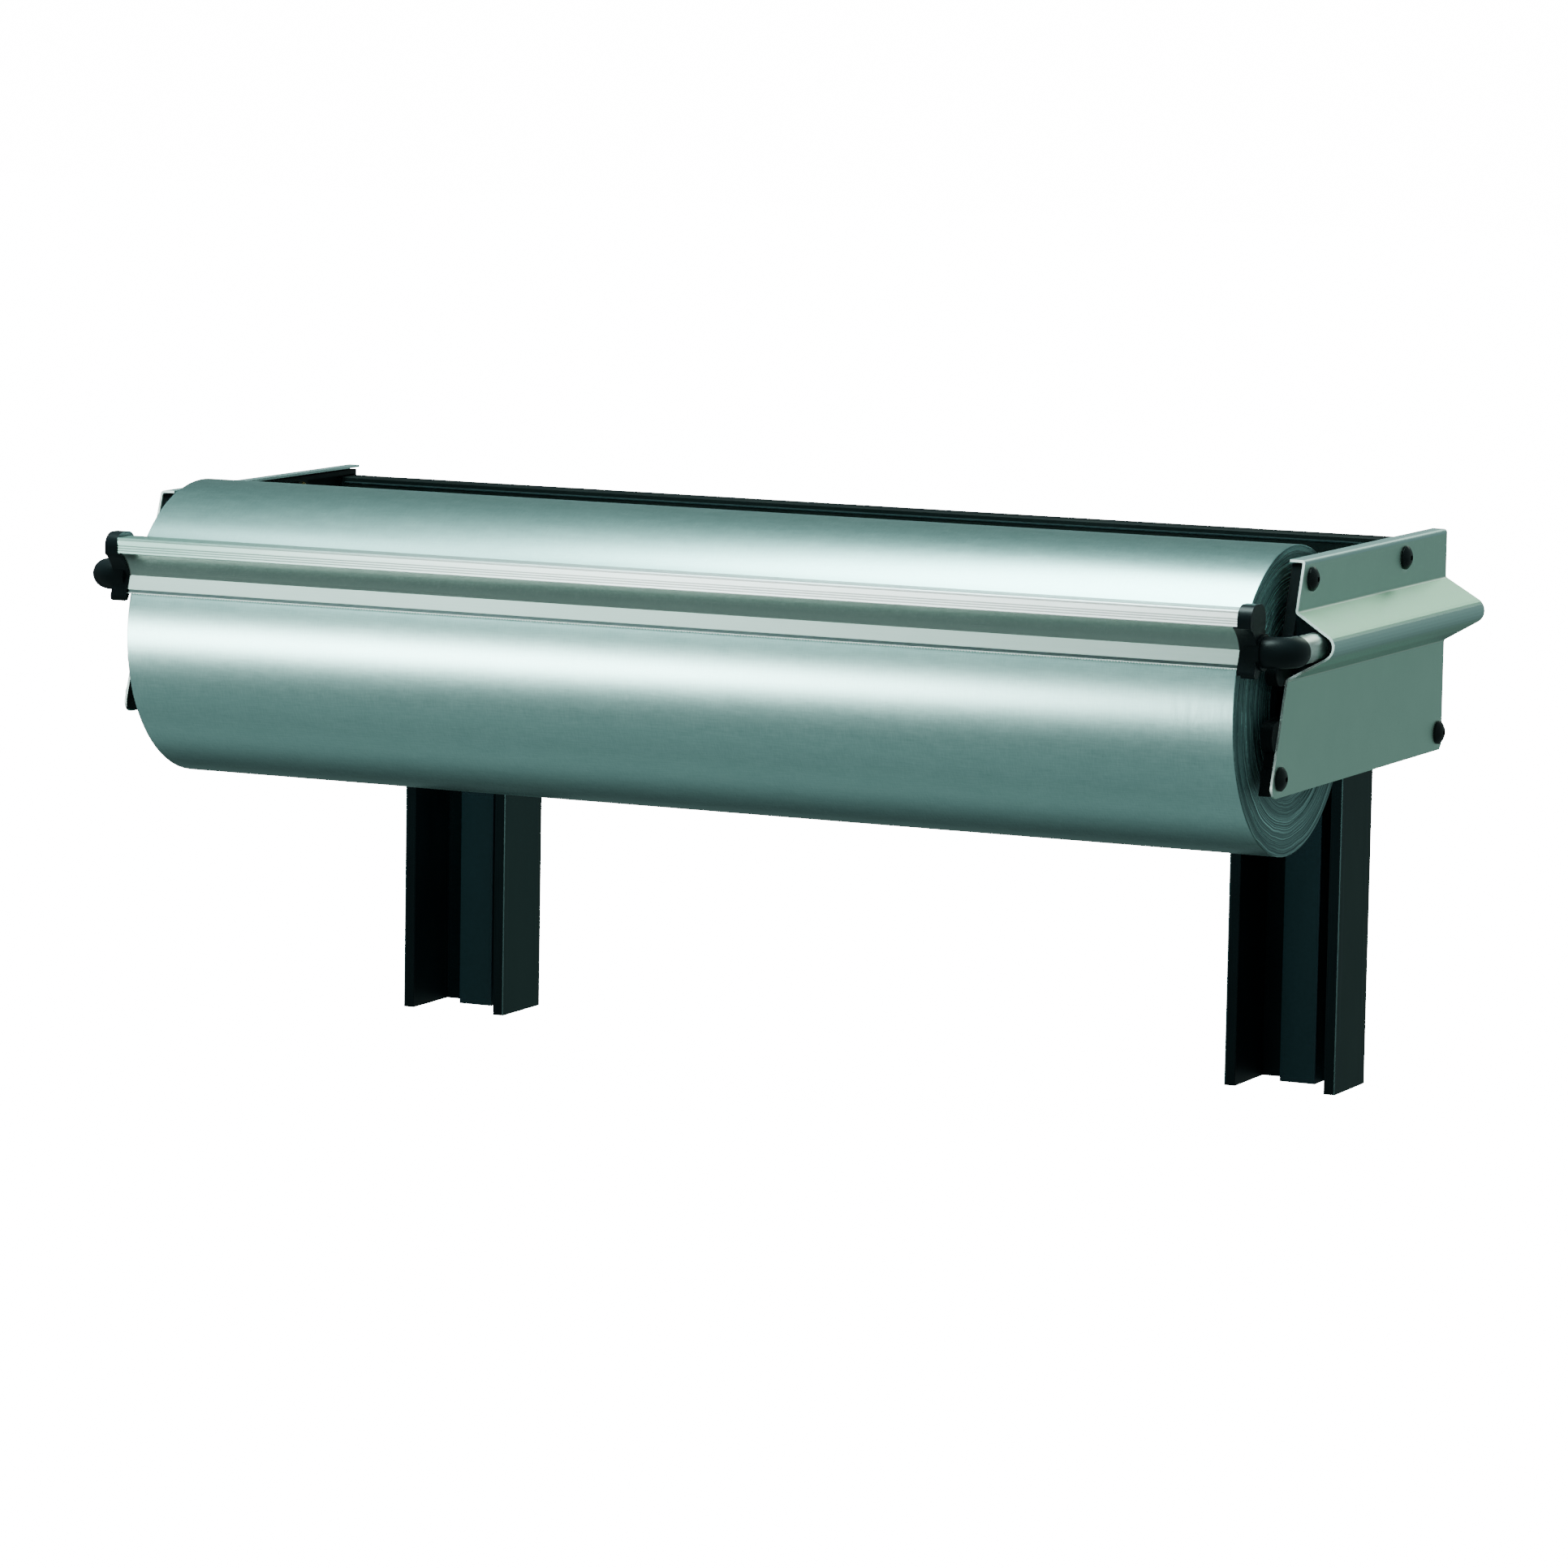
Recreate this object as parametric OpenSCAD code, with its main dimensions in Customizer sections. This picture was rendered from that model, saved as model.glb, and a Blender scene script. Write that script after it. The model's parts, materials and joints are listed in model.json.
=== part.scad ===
// Counter dispenser for gift wrap: a paper roll between two cheeks on a rear beam and two posts,
// with a toothed tear-off bar that two spring-loaded arms draw back on the roll.

/* [Paper roll] */
// Length of the paper roll
roll_len = 1000; // [600:50:1200]
// Radius of the full paper roll
roll_r = 125; // [90:1:130]
// Inner radius of the cardboard core
core_r = 35; // [28:1:40]
// Wall of the cardboard core
core_wall = 5; // [3:0.5:8]

/* [Axle and core plugs] */
// Radius of the axle rod
axle_r = 10; // [7:0.5:12]
// Gap from each axle end to its cheek
axle_end_gap = 2; // [1:0.5:4]
// Radius of the flange of a core plug
plug_flange_r = 46; // [42:1:55]
// Thickness of the flange of a core plug
plug_flange_t = 5; // [3:0.5:7]
// Depth that a core plug reaches into the core
plug_depth = 45; // [30:1:60]
// Taper of a core plug on the radius
plug_taper = 4; // [2:0.5:6]
// Radius of the hub of a core plug
plug_hub_r = 17; // [15:0.5:20]
// Wall of the rim of a core plug
plug_wall = 4; // [3:0.5:6]

/* [Cheek] */
// Gap from the end of the roll to the side plate
cheek_gap = 10.5; // [9:0.5:20]
// Thickness of the folded sheet
sheet_t = 2; // [1.5:0.1:3]
// Height of the cheek's top above the roll axis
cheek_top = 116.5; // [105:0.5:130]
// Depth of the cheek's lower edge below the roll axis
cheek_low = 68; // [60:1:90]
// Reach of the cheek's top front corner ahead of the roll axis
cheek_front_top = 33; // [25:1:45]
// Reach of the cheek's bottom front corner ahead of the roll axis
cheek_front_low = 96; // [85:1:105]
// Distance from the roll axis back to the cheek's rear edge
cheek_back = 293; // [270:1:340]
// Width of the turned-in flange on top
flange_w = 13; // [8:1:20]
// Outer bend radius of the flange
flange_bend = 3; // [2.6:0.1:5]
// Half the height of the mouth of the channel
channel_half = 26.5; // [25:0.5:30]
// Slope of the channel's two walls
channel_slope = 30; // [26:1:34]
// Outer bend radius along the channel's ridge
channel_bend = 11; // [9:0.5:12]
// Bend radius of the creases beside the channel
crease_bend = 2; // [1:0.5:4]
// Radius of the cheek's bottom front corner
cheek_corner = 9; // [5:1:14]
// Cut-off of the cheek's bottom rear corner
cheek_chamfer = 4; // [2:1:10]

/* [Side plate] */
// Thickness of the side plate at its rim
plate_t = 9.5; // [8:0.5:14]
// Thickness of the side plate's web
plate_web = 4; // [3:0.5:6]
// Width of the side plate's rim
rim_w = 4; // [3:0.5:6]
// Inset of the side plate behind the cheek's edges
plate_inset = 2.5; // [2:0.5:6]
// Height of the upper jaw of the axle slot, at its middle
jaw_top_z = 31; // [29:0.5:34]
// Radius of the upper jaw's nose
jaw_top_r = 11; // [9:0.5:12]
// Reach of the upper jaw ahead of the roll axis
jaw_top_reach = 85; // [75:1:92]
// Depth of the lower jaw of the axle slot, at its middle
jaw_low_z = 20; // [18:0.5:24]
// Radius of the lower jaw's nose
jaw_low_r = 13; // [10:0.5:14]
// Reach of the lower jaw ahead of the roll axis
jaw_low_reach = 91; // [80:1:96]
// Rise of the axle slot from its seat to its mouth
slot_rise = 7; // [4:0.5:8]
// Wall of the nylon saddle round the axle
saddle_wall = 4; // [3:0.5:5]
// Length of the saddle's straight legs
saddle_leg = 9; // [6:0.5:14]

/* [Fasteners] */
// Shank radius of a cheek screw
screw_r = 4; // [3:0.5:5]
// Head radius of a cheek screw
screw_head_r = 9.75; // [7:0.25:11]
// Head height of a cheek screw
screw_head_h = 6.2; // [3.5:0.1:7]
// Width across flats of a cheek nut
nut_flats = 13; // [11:0.5:16]
// Thickness of a cheek nut
nut_t = 7; // [5:0.5:8]
// Radius of a boss under a cheek nut
boss_r = 11; // [10:0.5:13]
// Shank radius of the beam's and bracket's smaller screws
small_screw_r = 3; // [2.5:0.5:3.5]
// Length of the screws that hold the beam
beam_screw_len = 34; // [25:1:50]

/* [Rear beam] */
// Depth of the beam from front to back
beam_d = 24; // [20:1:30]
// Height of the beam
beam_h = 60; // [50:1:80]
// Height of the beam's top above the roll axis
beam_top = 107.5; // [95:0.5:110]
// Wall of the beam
beam_wall = 2.5; // [2:0.5:3]
// Opening of the beam's slots
slot_open = 9; // [8:0.5:10]
// Width inside the beam's slots
slot_inner = 16; // [14:0.5:18]
// Depth inside the beam's slots
slot_deep = 5; // [4:0.5:6]

/* [Posts] */
// Distance of a post's middle in from the end of the roll
post_inset = 105; // [60:1:150]
// Width of a post
post_w = 100; // [90:1:120]
// Depth of a post
post_d = 70; // [60:1:90]
// Height of the roll axis above the posts' lower ends
axis_height = 365; // [300:5:500]
// Thickness of a post's hollow side
post_side = 10; // [9:0.5:14]
// Thickness of a post's rear web
post_web = 6; // [4:0.5:8]
// Width of the raised chamber in a post
chamber_w = 32; // [28:1:40]
// Depth of the raised chamber in a post
chamber_d = 22; // [18:1:26]
// Wall of a post's hollow parts
post_wall = 2.5; // [2:0.25:3]
// Radius of a fixing hole in a post
fix_hole_r = 4.5; // [3.5:0.5:6]
// Height of the lower fixing hole above a post's end
fix_low = 30; // [20:1:50]
// Distance between a post's two fixing holes
fix_pitch = 60; // [40:1:100]

/* [Post head bracket] */
// Thickness of the bracket
bracket_t = 6; // [5:0.5:8]
// Height of the bracket's upright leg
bracket_h = 46; // [40:1:50]
// Distance between the bracket's screws into the beam
bracket_pitch = 50; // [30:1:60]
// Shank radius of the screws into the beam
bracket_screw_r = 4; // [3:0.5:4]

/* [Cutter bar] */
// Overhang of the bar past each end of the roll
bar_over = 5.5; // [2:0.5:8]
// Depth of the bar's box part
bar_box_d = 24.5; // [22:0.5:30]
// Height of the bar's ribbed strip
strip_h = 13; // [10:0.5:15]
// Height of the bar's top above the roll axis
bar_top = 84.5; // [82:0.5:90]
// Height of the lip's upper edge above the roll axis
lip_top = 51; // [49:0.5:54]
// Height of the lip's lower edge above the roll axis
lip_low = 39.5; // [37:0.5:42]
// Height of the bar's rear heel above the roll axis
heel_z = 65; // [62:0.5:68]
// Thickness of the lip
lip_t = 3; // [2.5:0.1:4]
// Wall of the bar
bar_wall = 2; // [1.6:0.1:2.5]
// Radius of the concave web
web_r = 34; // [26:1:50]
// Depth of a groove in the ribbed strip
rib_deep = 0.7; // [0.3:0.1:0.8]
// Gap between the resting lip and the paper
seat_gap = 0.35; // [0.3:0.05:0.6]
// Further gap between the bar's rear heel and the paper
heel_gap = 1.5; // [1:0.25:3]

/* [Blade] */
// Thickness of the blade
blade_t = 0.8; // [0.6:0.1:1]
// Height of the blade
blade_h = 11; // [9:0.5:12]
// Length of blade that shows under the lip
blade_show = 4; // [3:0.5:5]
// Depth of a tooth
tooth_deep = 1.2; // [0.8:0.1:2]
// Number of teeth along the blade
tooth_count = 400; // [100:10:500]

/* [End caps] */
// Thickness of an end cap
cap_t = 11.5; // [7:0.5:13]
// Rise of an end cap above the bar's top
cap_rise = 4; // [1:0.5:6]
// Reach of an end cap behind the bar's heel
cap_back = 5.5; // [1:0.5:8]
// Radius of an end cap's top lobe
cap_lobe_r = 11.5; // [6:0.5:14]
// Radius of an end cap's lower tip
cap_tip_r = 4; // [3:0.5:5]
// Radius of an end cap's hub round the arm
cap_hub_r = 14.5; // [13.5:0.5:17]
// Reach of an end cap's rim over the bar's web and lip
cap_rim = 3.5; // [1:0.5:5]
// Height of an end cap's hub
cap_hub_h = 2; // [1:0.5:4]
// Depth of an end cap's spigot in the bar
cap_spigot = 14; // [8:1:20]

/* [Arms] */
// Outer radius of the arm tube
tube_r = 11.5; // [9:0.5:11.5]
// Wall of the arm tube
tube_wall = 1.5; // [1:0.25:2]
// Wall of the sleeve over the elbow
sleeve_wall = 1; // [0.6:0.1:1]
// Bend radius of the elbow at the tube's middle
elbow_r = 18; // [16:1:20]
// Height of the arms above the roll axis
arm_z = 50; // [48:0.5:52]
// Distance of the arm's stub behind the bar's front
arm_setback = 25; // [22:0.5:30]
// Travel of the bar
travel = 60; // [40:1:70]

/* [Guides and springs] */
// Length of a guide bush
bush_len = 38; // [25:1:50]
// Distance of the front bush ahead of the roll axis
front_bush_reach = 46; // [40:1:50]
// Distance of the rear bush's front behind the roll axis
rear_bush_back = 104; // [90:1:120]
// Radius of a bush's spigot in the side plate
bush_spigot_r = 5; // [4:0.5:6]
// Mean radius of the spring's coil
coil_r = 6; // [4:0.5:7]
// Radius of the spring's wire
wire_r = 0.8; // [0.5:0.1:1]
// Turns of the spring
coil_turns = 20; // [10:1:22]
// Radius of the anchor pin
anchor_r = 4; // [3:0.5:5]
// Distance of the anchor pin ahead of the beam's screws
anchor_inset = 14; // [12:1:18]
// Radius of the cross pin in the arm's plug
cross_pin_r = 2; // [1.5:0.5:2.5]

/* [Hidden] */

// Overrun of cuts, angles, and the finish of round faces
over = 1;
half_turn = 180;
full_turn = 360;
round_fn = 64;
fine_fn = 32;
// Radial play of a running fit, of a part pushed into its seat, and of a screw in its hole
run_fit = 0.08;
seat_fit = 0.05;
hole_fit = 0.5;
// Smallest gap between pieces that only lie side by side
side_gap = 0.5;

// Positions that several pieces share lie on a fine grid
grid = 0.01;
function on_grid(v) = round(v / grid) * grid;

// Planes along X, from the middle outward
roll_end = roll_len / 2;
plate_in = roll_end + cheek_gap;
plate_out = plate_in + plate_t;
cheek_out = plate_out + sheet_t;
floor_x = plate_out - plate_web;
post_x = roll_end - post_inset;
bar_end = roll_end + bar_over;
cap_out = bar_end + cap_t;

// The roll axis, seen from the middle of the fixing holes on the posts' rear faces
fix_mid = fix_low + fix_pitch / 2;
roll_y = beam_d - cheek_back - post_d;
roll_z = axis_height - fix_mid;
beam_front = cheek_back - beam_d;
beam_mid = beam_front + beam_d / 2;
beam_low = beam_top - beam_h;
post_top = beam_low - bracket_t;
post_h = axis_height + post_top;

// The channel: its ridge arc and the arm that runs in it
ridge_x = cheek_out + channel_half / tan(channel_slope) - channel_bend / sin(channel_slope);
ridge_in_r = channel_bend - sheet_t;
arm_play = 0.75;
arm_x = on_grid(ridge_x - (tube_r + sleeve_wall + arm_play - ridge_in_r) / sin(channel_slope));

// The cheek's front edge leans back towards its top
lean = (cheek_front_low - cheek_front_top) / (cheek_top + cheek_low);
function edge_y(z) = -cheek_front_top - lean * (cheek_top - z);

// The bar rests with its lip on the full roll, and its heel stands clear of it
touch_r = roll_r + seat_gap;
function touch_y(z) = -on_grid(sqrt(touch_r * touch_r - z * z));
lip_back_y = touch_y(lip_low);
heel_y = touch_y(heel_z) - heel_gap;
bar_front_y = heel_y - bar_box_d;
strip_low = bar_top - strip_h;
lip_lean = lip_low / -lip_back_y;
lip_top_y = lip_back_y + lip_lean * (lip_top - lip_low);
stub_y = bar_front_y + arm_setback;
bend_y = stub_y + elbow_r;

// The arm's rear end stays in the rear bush when the bar is pulled right out
rear_bush_end = rear_bush_back + bush_len;
end_stay = 4;
tube_end = rear_bush_end + travel + end_stay;
anchor_y = beam_mid - anchor_inset;
tube_in_r = tube_r - tube_wall;
sleeve_r = tube_r + sleeve_wall;

// Cheek screws: front top, rear top, front bottom, rear bottom, each [y, z]
screw_edge = 16;
rear_screw_share = 0.66;
screw_low_inset = 15;
screw_back_inset = 10;
screw_places = [
    [edge_y(cheek_top - screw_edge) + screw_edge + rim_w, cheek_top - screw_edge],
    [cheek_back * rear_screw_share, cheek_top - screw_edge],
    [edge_y(screw_low_inset - cheek_low) + screw_edge - rim_w / 2, screw_low_inset - cheek_low],
    [cheek_back - screw_back_inset, screw_low_inset - cheek_low]];

// Unit vector, signed turn between two directions, and the normal on the right hand
function unit(v) = v / norm(v);
function turn(a, b) = atan2(a[0] * b[1] - a[1] * b[0], a * b);
function right_of(v) = [v[1], -v[0]];

// Moves into the frame of the roll axis, and draws one side for both
module at_roll() { translate([0, roll_y, roll_z]) children(); }
module right_side() { at_roll() children(); }
module left_side() { at_roll() mirror([1, 0, 0]) children(); }

// Extrudes a [y, z] outline along X, and an [x, z] outline along Y from y0 to y1
module along_x(x0, x1) { translate([x0, 0, 0]) rotate([90, 0, 90]) linear_extrude(x1 - x0) children(); }
module along_y(y0, y1) { translate([0, y1, 0]) rotate([90, 0, 0]) linear_extrude(y1 - y0) children(); }

// Round rod along X or Y
module rod_x(x0, x1, r, fn = round_fn) {
    translate([x0, 0, 0]) rotate([0, 90, 0]) cylinder(h = x1 - x0, r = r, $fn = fn);
}
module rod_y(y0, y1, r, fn = round_fn) {
    translate([0, y0, 0]) rotate([-90, 0, 0]) cylinder(h = y1 - y0, r = r, $fn = fn);
}

// Section of folded sheet: path is its outer surface, with the sheet on the right of it
bend_steps = 8;
module folded(path, bends, t) {
    last = len(path) - 1;
    dirs = [for (i = [0:last - 1]) unit(path[i + 1] - path[i])];
    turns = [for (i = [1:last - 1]) turn(dirs[i - 1], dirs[i])];
    sides = [for (a = turns) a < 0 ? 1 : -1];
    mids = [for (i = [1:last - 1])
        path[i] - dirs[i - 1] * bends[i - 1] * tan(abs(turns[i - 1]) / 2)
            + sides[i - 1] * right_of(dirs[i - 1]) * bends[i - 1]];
    function face(depth) = [for (i = [0:last - 2], k = [0:bend_steps])
        let (out = -sides[i] * right_of(dirs[i]), a = atan2(out[1], out[0]) + turns[i] * k / bend_steps)
        mids[i] + (bends[i] - sides[i] * depth) * [cos(a), sin(a)]];
    outer = concat([path[0]], face(0), [path[last]]);
    inner = concat([path[0] + right_of(dirs[0]) * t], face(t), [path[last] + right_of(dirs[last - 1]) * t]);
    polygon(concat(outer, [for (i = [len(inner) - 1:-1:0]) inner[i]]));
}

// Polygon with true round corners where its radii are not zero; points run anticlockwise
module rounded_poly(points, radii) {
    count = len(points);
    ins = [for (i = [0:count - 1]) unit(points[i] - points[(i + count - 1) % count])];
    outs = [for (i = [0:count - 1]) unit(points[(i + 1) % count] - points[i])];
    cuts = [for (i = [0:count - 1]) radii[i] * tan(abs(turn(ins[i], outs[i])) / 2)];
    polygon([for (i = [0:count - 1], k = radii[i] > 0 ? [0, 1] : [0])
        k == 0 ? points[i] - ins[i] * cuts[i] : points[i] + outs[i] * cuts[i]]);
    for (i = [0:count - 1])
        if (radii[i] > 0)
            translate(points[i] - ins[i] * cuts[i] - right_of(ins[i]) * radii[i])
                circle(r = radii[i], $fn = round_fn);
}

// Button head screw pointing along +X, its head's seat at x = 0 and its shank towards -X
hex_sides = 6;
socket_share = 0.6;
collar_share = 0.3;
module button_screw(shank_r, head_r, head_h, length) {
    collar_h = head_h * collar_share;
    dome_h = head_h - collar_h;
    ball_r = (head_r * head_r + dome_h * dome_h) / (2 * dome_h);
    difference() {
        rotate([0, 90, 0]) rotate_extrude($fn = round_fn) {
            translate([0, -length]) square([shank_r, length + collar_h]);
            square([head_r, collar_h]);
            intersection() {
                translate([0, head_h - ball_r]) circle(r = ball_r, $fn = round_fn);
                square([head_r, head_h]);
            }
        }
        rod_x(head_h * (1 - socket_share), head_h + over, shank_r * socket_share, hex_sides);
    }
}

// Countersunk screw along X, its head's face at x = 0 and its shank towards -X
cone_share = 0.6;
module flush_screw(shank_r, length) {
    head_r = shank_r * 2;
    difference() {
        union() {
            rod_x(-length, -shank_r * cone_share, shank_r, fine_fn);
            translate([-shank_r, 0, 0]) rotate([0, 90, 0])
                cylinder(h = shank_r, r1 = shank_r, r2 = head_r, $fn = fine_fn);
        }
        rod_x(-shank_r * cone_share, over, shank_r * socket_share, hex_sides);
    }
}

// Post: hollow sides, a rear web and a raised chamber between two channels that open to the front
port_back = (post_d - beam_d - bracket_t) / 2;
module post_section() {
    inner_w = post_w - 2 * post_side;
    port_x = (post_w - post_side) / 2;
    difference() {
        union() {
            difference() {
                translate([-post_w / 2, -post_d]) square([post_w, post_d]);
                translate([-inner_w / 2, -post_d - over]) square([inner_w, post_d - post_web + over]);
                for (side = [-1, 1])
                    translate([side * port_x - post_side / 2 + post_wall, -post_d + post_wall])
                        square([post_side - 2 * post_wall, post_d - 2 * post_wall]);
            }
            for (side = [-1, 1])
                translate([side * port_x, -port_back]) circle(r = post_side / 2, $fn = round_fn);
            translate([-chamber_w / 2, -post_web - chamber_d]) square([chamber_w, chamber_d + over]);
        }
        translate([-chamber_w / 2 + post_wall, -post_web - chamber_d + post_wall])
            square([chamber_w - 2 * post_wall, chamber_d - post_wall]);
        for (side = [-1, 1])
            translate([side * port_x, -port_back]) circle(r = small_screw_r + seat_fit, $fn = fine_fn);
    }
}
module post(side) {
    color([0.05, 0.06, 0.07])
        translate([side * post_x, 0, -fix_mid])
            difference() {
                linear_extrude(post_h) post_section();
                for (rise = [fix_low, fix_low + fix_pitch])
                    translate([0, -post_web - over, rise]) rod_y(0, post_web + 2 * over, fix_hole_r);
            }
}
module left_post() post(-1);
module right_post() post(1);

// Head bracket: a flat leg between post and beam, and an upright leg behind the beam
slot_z = beam_low + beam_h / 2;
bracket_corner = 8;
module at_bracket(side) { at_roll() translate([side * post_x, 0, 0]) children(); }
module bracket(side) {
    color([0.07, 0.08, 0.09]) at_bracket(side)
        difference() {
            union() {
                translate([-post_w / 2, beam_front, post_top]) cube([post_w, post_d, bracket_t]);
                along_y(cheek_back, cheek_back + bracket_t)
                    rounded_poly([[-post_w / 2, post_top], [post_w / 2, post_top],
                                  [post_w / 2, beam_low + bracket_h], [-post_w / 2, beam_low + bracket_h]],
                                 [0, 0, bracket_corner, bracket_corner]);
            }
            for (edge = [-1, 1]) {
                translate([edge * (post_w - post_side) / 2, -roll_y - port_back, post_top - over])
                    cylinder(h = bracket_t + 2 * over, r = small_screw_r + hole_fit, $fn = fine_fn);
                translate([edge * bracket_pitch / 2, 0, slot_z])
                    rod_y(cheek_back - over, cheek_back + bracket_t + over,
                          bracket_screw_r + hole_fit, fine_fn);
            }
        }
}
module left_post_bracket() bracket(-1);
module right_post_bracket() bracket(1);

// Screws of a bracket: two down into the post, two forward into the beam's slot nuts
slot_nut_t = slot_deep - 2 * side_gap;
post_screw_len = 24;
module bracket_screws(side) {
    reach = bracket_t + beam_wall + slot_nut_t + side_gap;
    color([0.6, 0.62, 0.64]) at_bracket(side)
        for (edge = [-1, 1]) {
            translate([edge * (post_w - post_side) / 2, -roll_y - port_back, beam_low])
                rotate([0, -90, 0])
                    button_screw(small_screw_r, post_side / 2 + side_gap, small_screw_r, post_screw_len);
            translate([edge * bracket_pitch / 2, cheek_back + bracket_t, slot_z])
                rotate([0, 0, 90])
                    button_screw(bracket_screw_r, 2 * bracket_screw_r, bracket_screw_r, reach);
        }
}
module left_bracket_screws() bracket_screws(-1);
module right_bracket_screws() bracket_screws(1);
module slot_nuts(side) {
    nut_w = slot_inner - 2 * side_gap;
    nut_back = cheek_back - beam_wall - seat_fit;
    color([0.6, 0.62, 0.64]) at_bracket(side)
        for (edge = [-1, 1])
            translate([edge * bracket_pitch / 2, 0, slot_z])
                difference() {
                    translate([-nut_w / 2, nut_back - slot_nut_t, -nut_w / 2])
                        cube([nut_w, slot_nut_t, nut_w]);
                    rod_y(nut_back - slot_nut_t - over, nut_back + over,
                          bracket_screw_r + seat_fit, fine_fn);
                }
}
module left_slot_nuts() slot_nuts(-1);
module right_slot_nuts() slot_nuts(1);

// Rear beam: extruded rail with a slot front and back, two chambers and a screw port in each
port_boss_r = small_screw_r + beam_wall;
line_groove = 2;
line_drop = 5;
beam_chamfer = 1;
module beam_section() {
    slot_half = slot_inner / 2 + beam_wall;
    chamber_h = beam_h / 2 - slot_half - beam_wall;
    difference() {
        polygon([[0, 0], [beam_d, 0], [beam_d, beam_h - beam_chamfer], [beam_d - beam_chamfer, beam_h],
                 [beam_chamfer, beam_h], [0, beam_h - beam_chamfer]]);
        for (low = [beam_wall, beam_h / 2 + slot_half])
            difference() {
                translate([beam_wall, low]) square([beam_d - 2 * beam_wall, chamber_h]);
                translate([(beam_d - beam_wall) / 2, low]) square([beam_wall, chamber_h]);
                translate([beam_d / 2, low + chamber_h / 2]) circle(r = port_boss_r, $fn = round_fn);
            }
        for (low = [beam_wall, beam_h / 2 + slot_half])
            translate([beam_d / 2, low + chamber_h / 2]) circle(r = small_screw_r + seat_fit, $fn = fine_fn);
        for (face = [0, 1])
            translate([face * beam_d, beam_h / 2]) mirror([face, 0]) {
                translate([-over, -slot_open / 2]) square([beam_wall + 2 * over, slot_open]);
                translate([beam_wall, -slot_inner / 2]) square([slot_deep, slot_inner]);
            }
        translate([-over, beam_h - line_drop - line_groove]) square([line_groove / 2 + over, line_groove]);
    }
}
beam_port_rise = (beam_h / 2 - slot_inner / 2 - 2 * beam_wall) / 2 + beam_wall;
beam_port_zs = [beam_low + beam_port_rise, beam_top - beam_port_rise];
module rear_beam() {
    color([0.09, 0.1, 0.11]) at_roll()
        translate([0, beam_front, beam_low]) along_x(-plate_in, plate_in) beam_section();
}
module beam_screws() {
    color([0.6, 0.62, 0.64])
        for (z = beam_port_zs)
            translate([plate_out, beam_mid, z]) flush_screw(small_screw_r, beam_screw_len);
}
module left_beam_screws() left_side() beam_screws();
module right_beam_screws() right_side() beam_screws();

// Side plate: a web with a rim, bosses and ribs on its inner side, and the axle slot between two jaws
pocket_r = axle_r + run_fit + saddle_wall + seat_fit;
slot_half = axle_r + hole_fit;
plate_top = cheek_top - flange_bend - side_gap;
plate_low = plate_inset - cheek_low;
plate_back = cheek_back - plate_inset;
module plate_shape(inset) {
    step = inset * sqrt(1 + lean * lean);
    difference() {
        union() {
            polygon([[edge_y(plate_top) + plate_inset + step, plate_top - inset],
                     [edge_y(plate_low) + plate_inset + step, plate_low + inset],
                     [plate_back - inset, plate_low + inset],
                     [plate_back - inset, plate_top - inset]]);
            jaw(jaw_top_z, jaw_top_reach, jaw_top_r - inset, inset);
            jaw(-jaw_low_z, jaw_low_reach, jaw_low_r - inset, inset);
            translate(screw_places[2]) circle(r = boss_r + rim_w / 2 - inset, $fn = round_fn);
        }
        circle(r = pocket_r + inset, $fn = round_fn);
        translate([-saddle_leg - inset, -pocket_r - inset])
            square([saddle_leg + inset, 2 * (pocket_r + inset)]);
        polygon([[0, slot_half + inset], [-cheek_front_low - over, slot_half + inset + slot_rise],
                 [-cheek_front_low - over, slot_rise - slot_half - inset], [0, -slot_half - inset]]);
    }
}
module jaw(z, reach, r, inset) {
    nose_y = r + inset - reach;
    translate([nose_y, z]) circle(r = r, $fn = round_fn);
    translate([nose_y, z - r]) square([-nose_y, 2 * r]);
}
module rib(from, to) {
    translate(from) rotate(atan2(to[1] - from[1], to[0] - from[0]))
        translate([0, -rim_w / 2]) square([norm(to - from), rim_w]);
}
module plate_ribs() {
    corner_low = [plate_back, plate_low];
    mid_top = [screw_places[1][0], screw_places[1][1]];
    intersection() {
        plate_shape(0);
        union() {
            rib([pocket_r, 0], corner_low);
            rib([pocket_r, 0], [plate_back, 0]);
            rib([pocket_r / 2, pocket_r], mid_top);
            rib([0, pocket_r], screw_places[0]);
            rib([0, -pocket_r], screw_places[2]);
            rib(mid_top, [plate_back, 0]);
        }
    }
}
nut_corner_r = nut_flats / 2 / cos(half_turn / hex_sides);
bush_mids = [-front_bush_reach + bush_len / 2, rear_bush_back + bush_len / 2];
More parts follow.
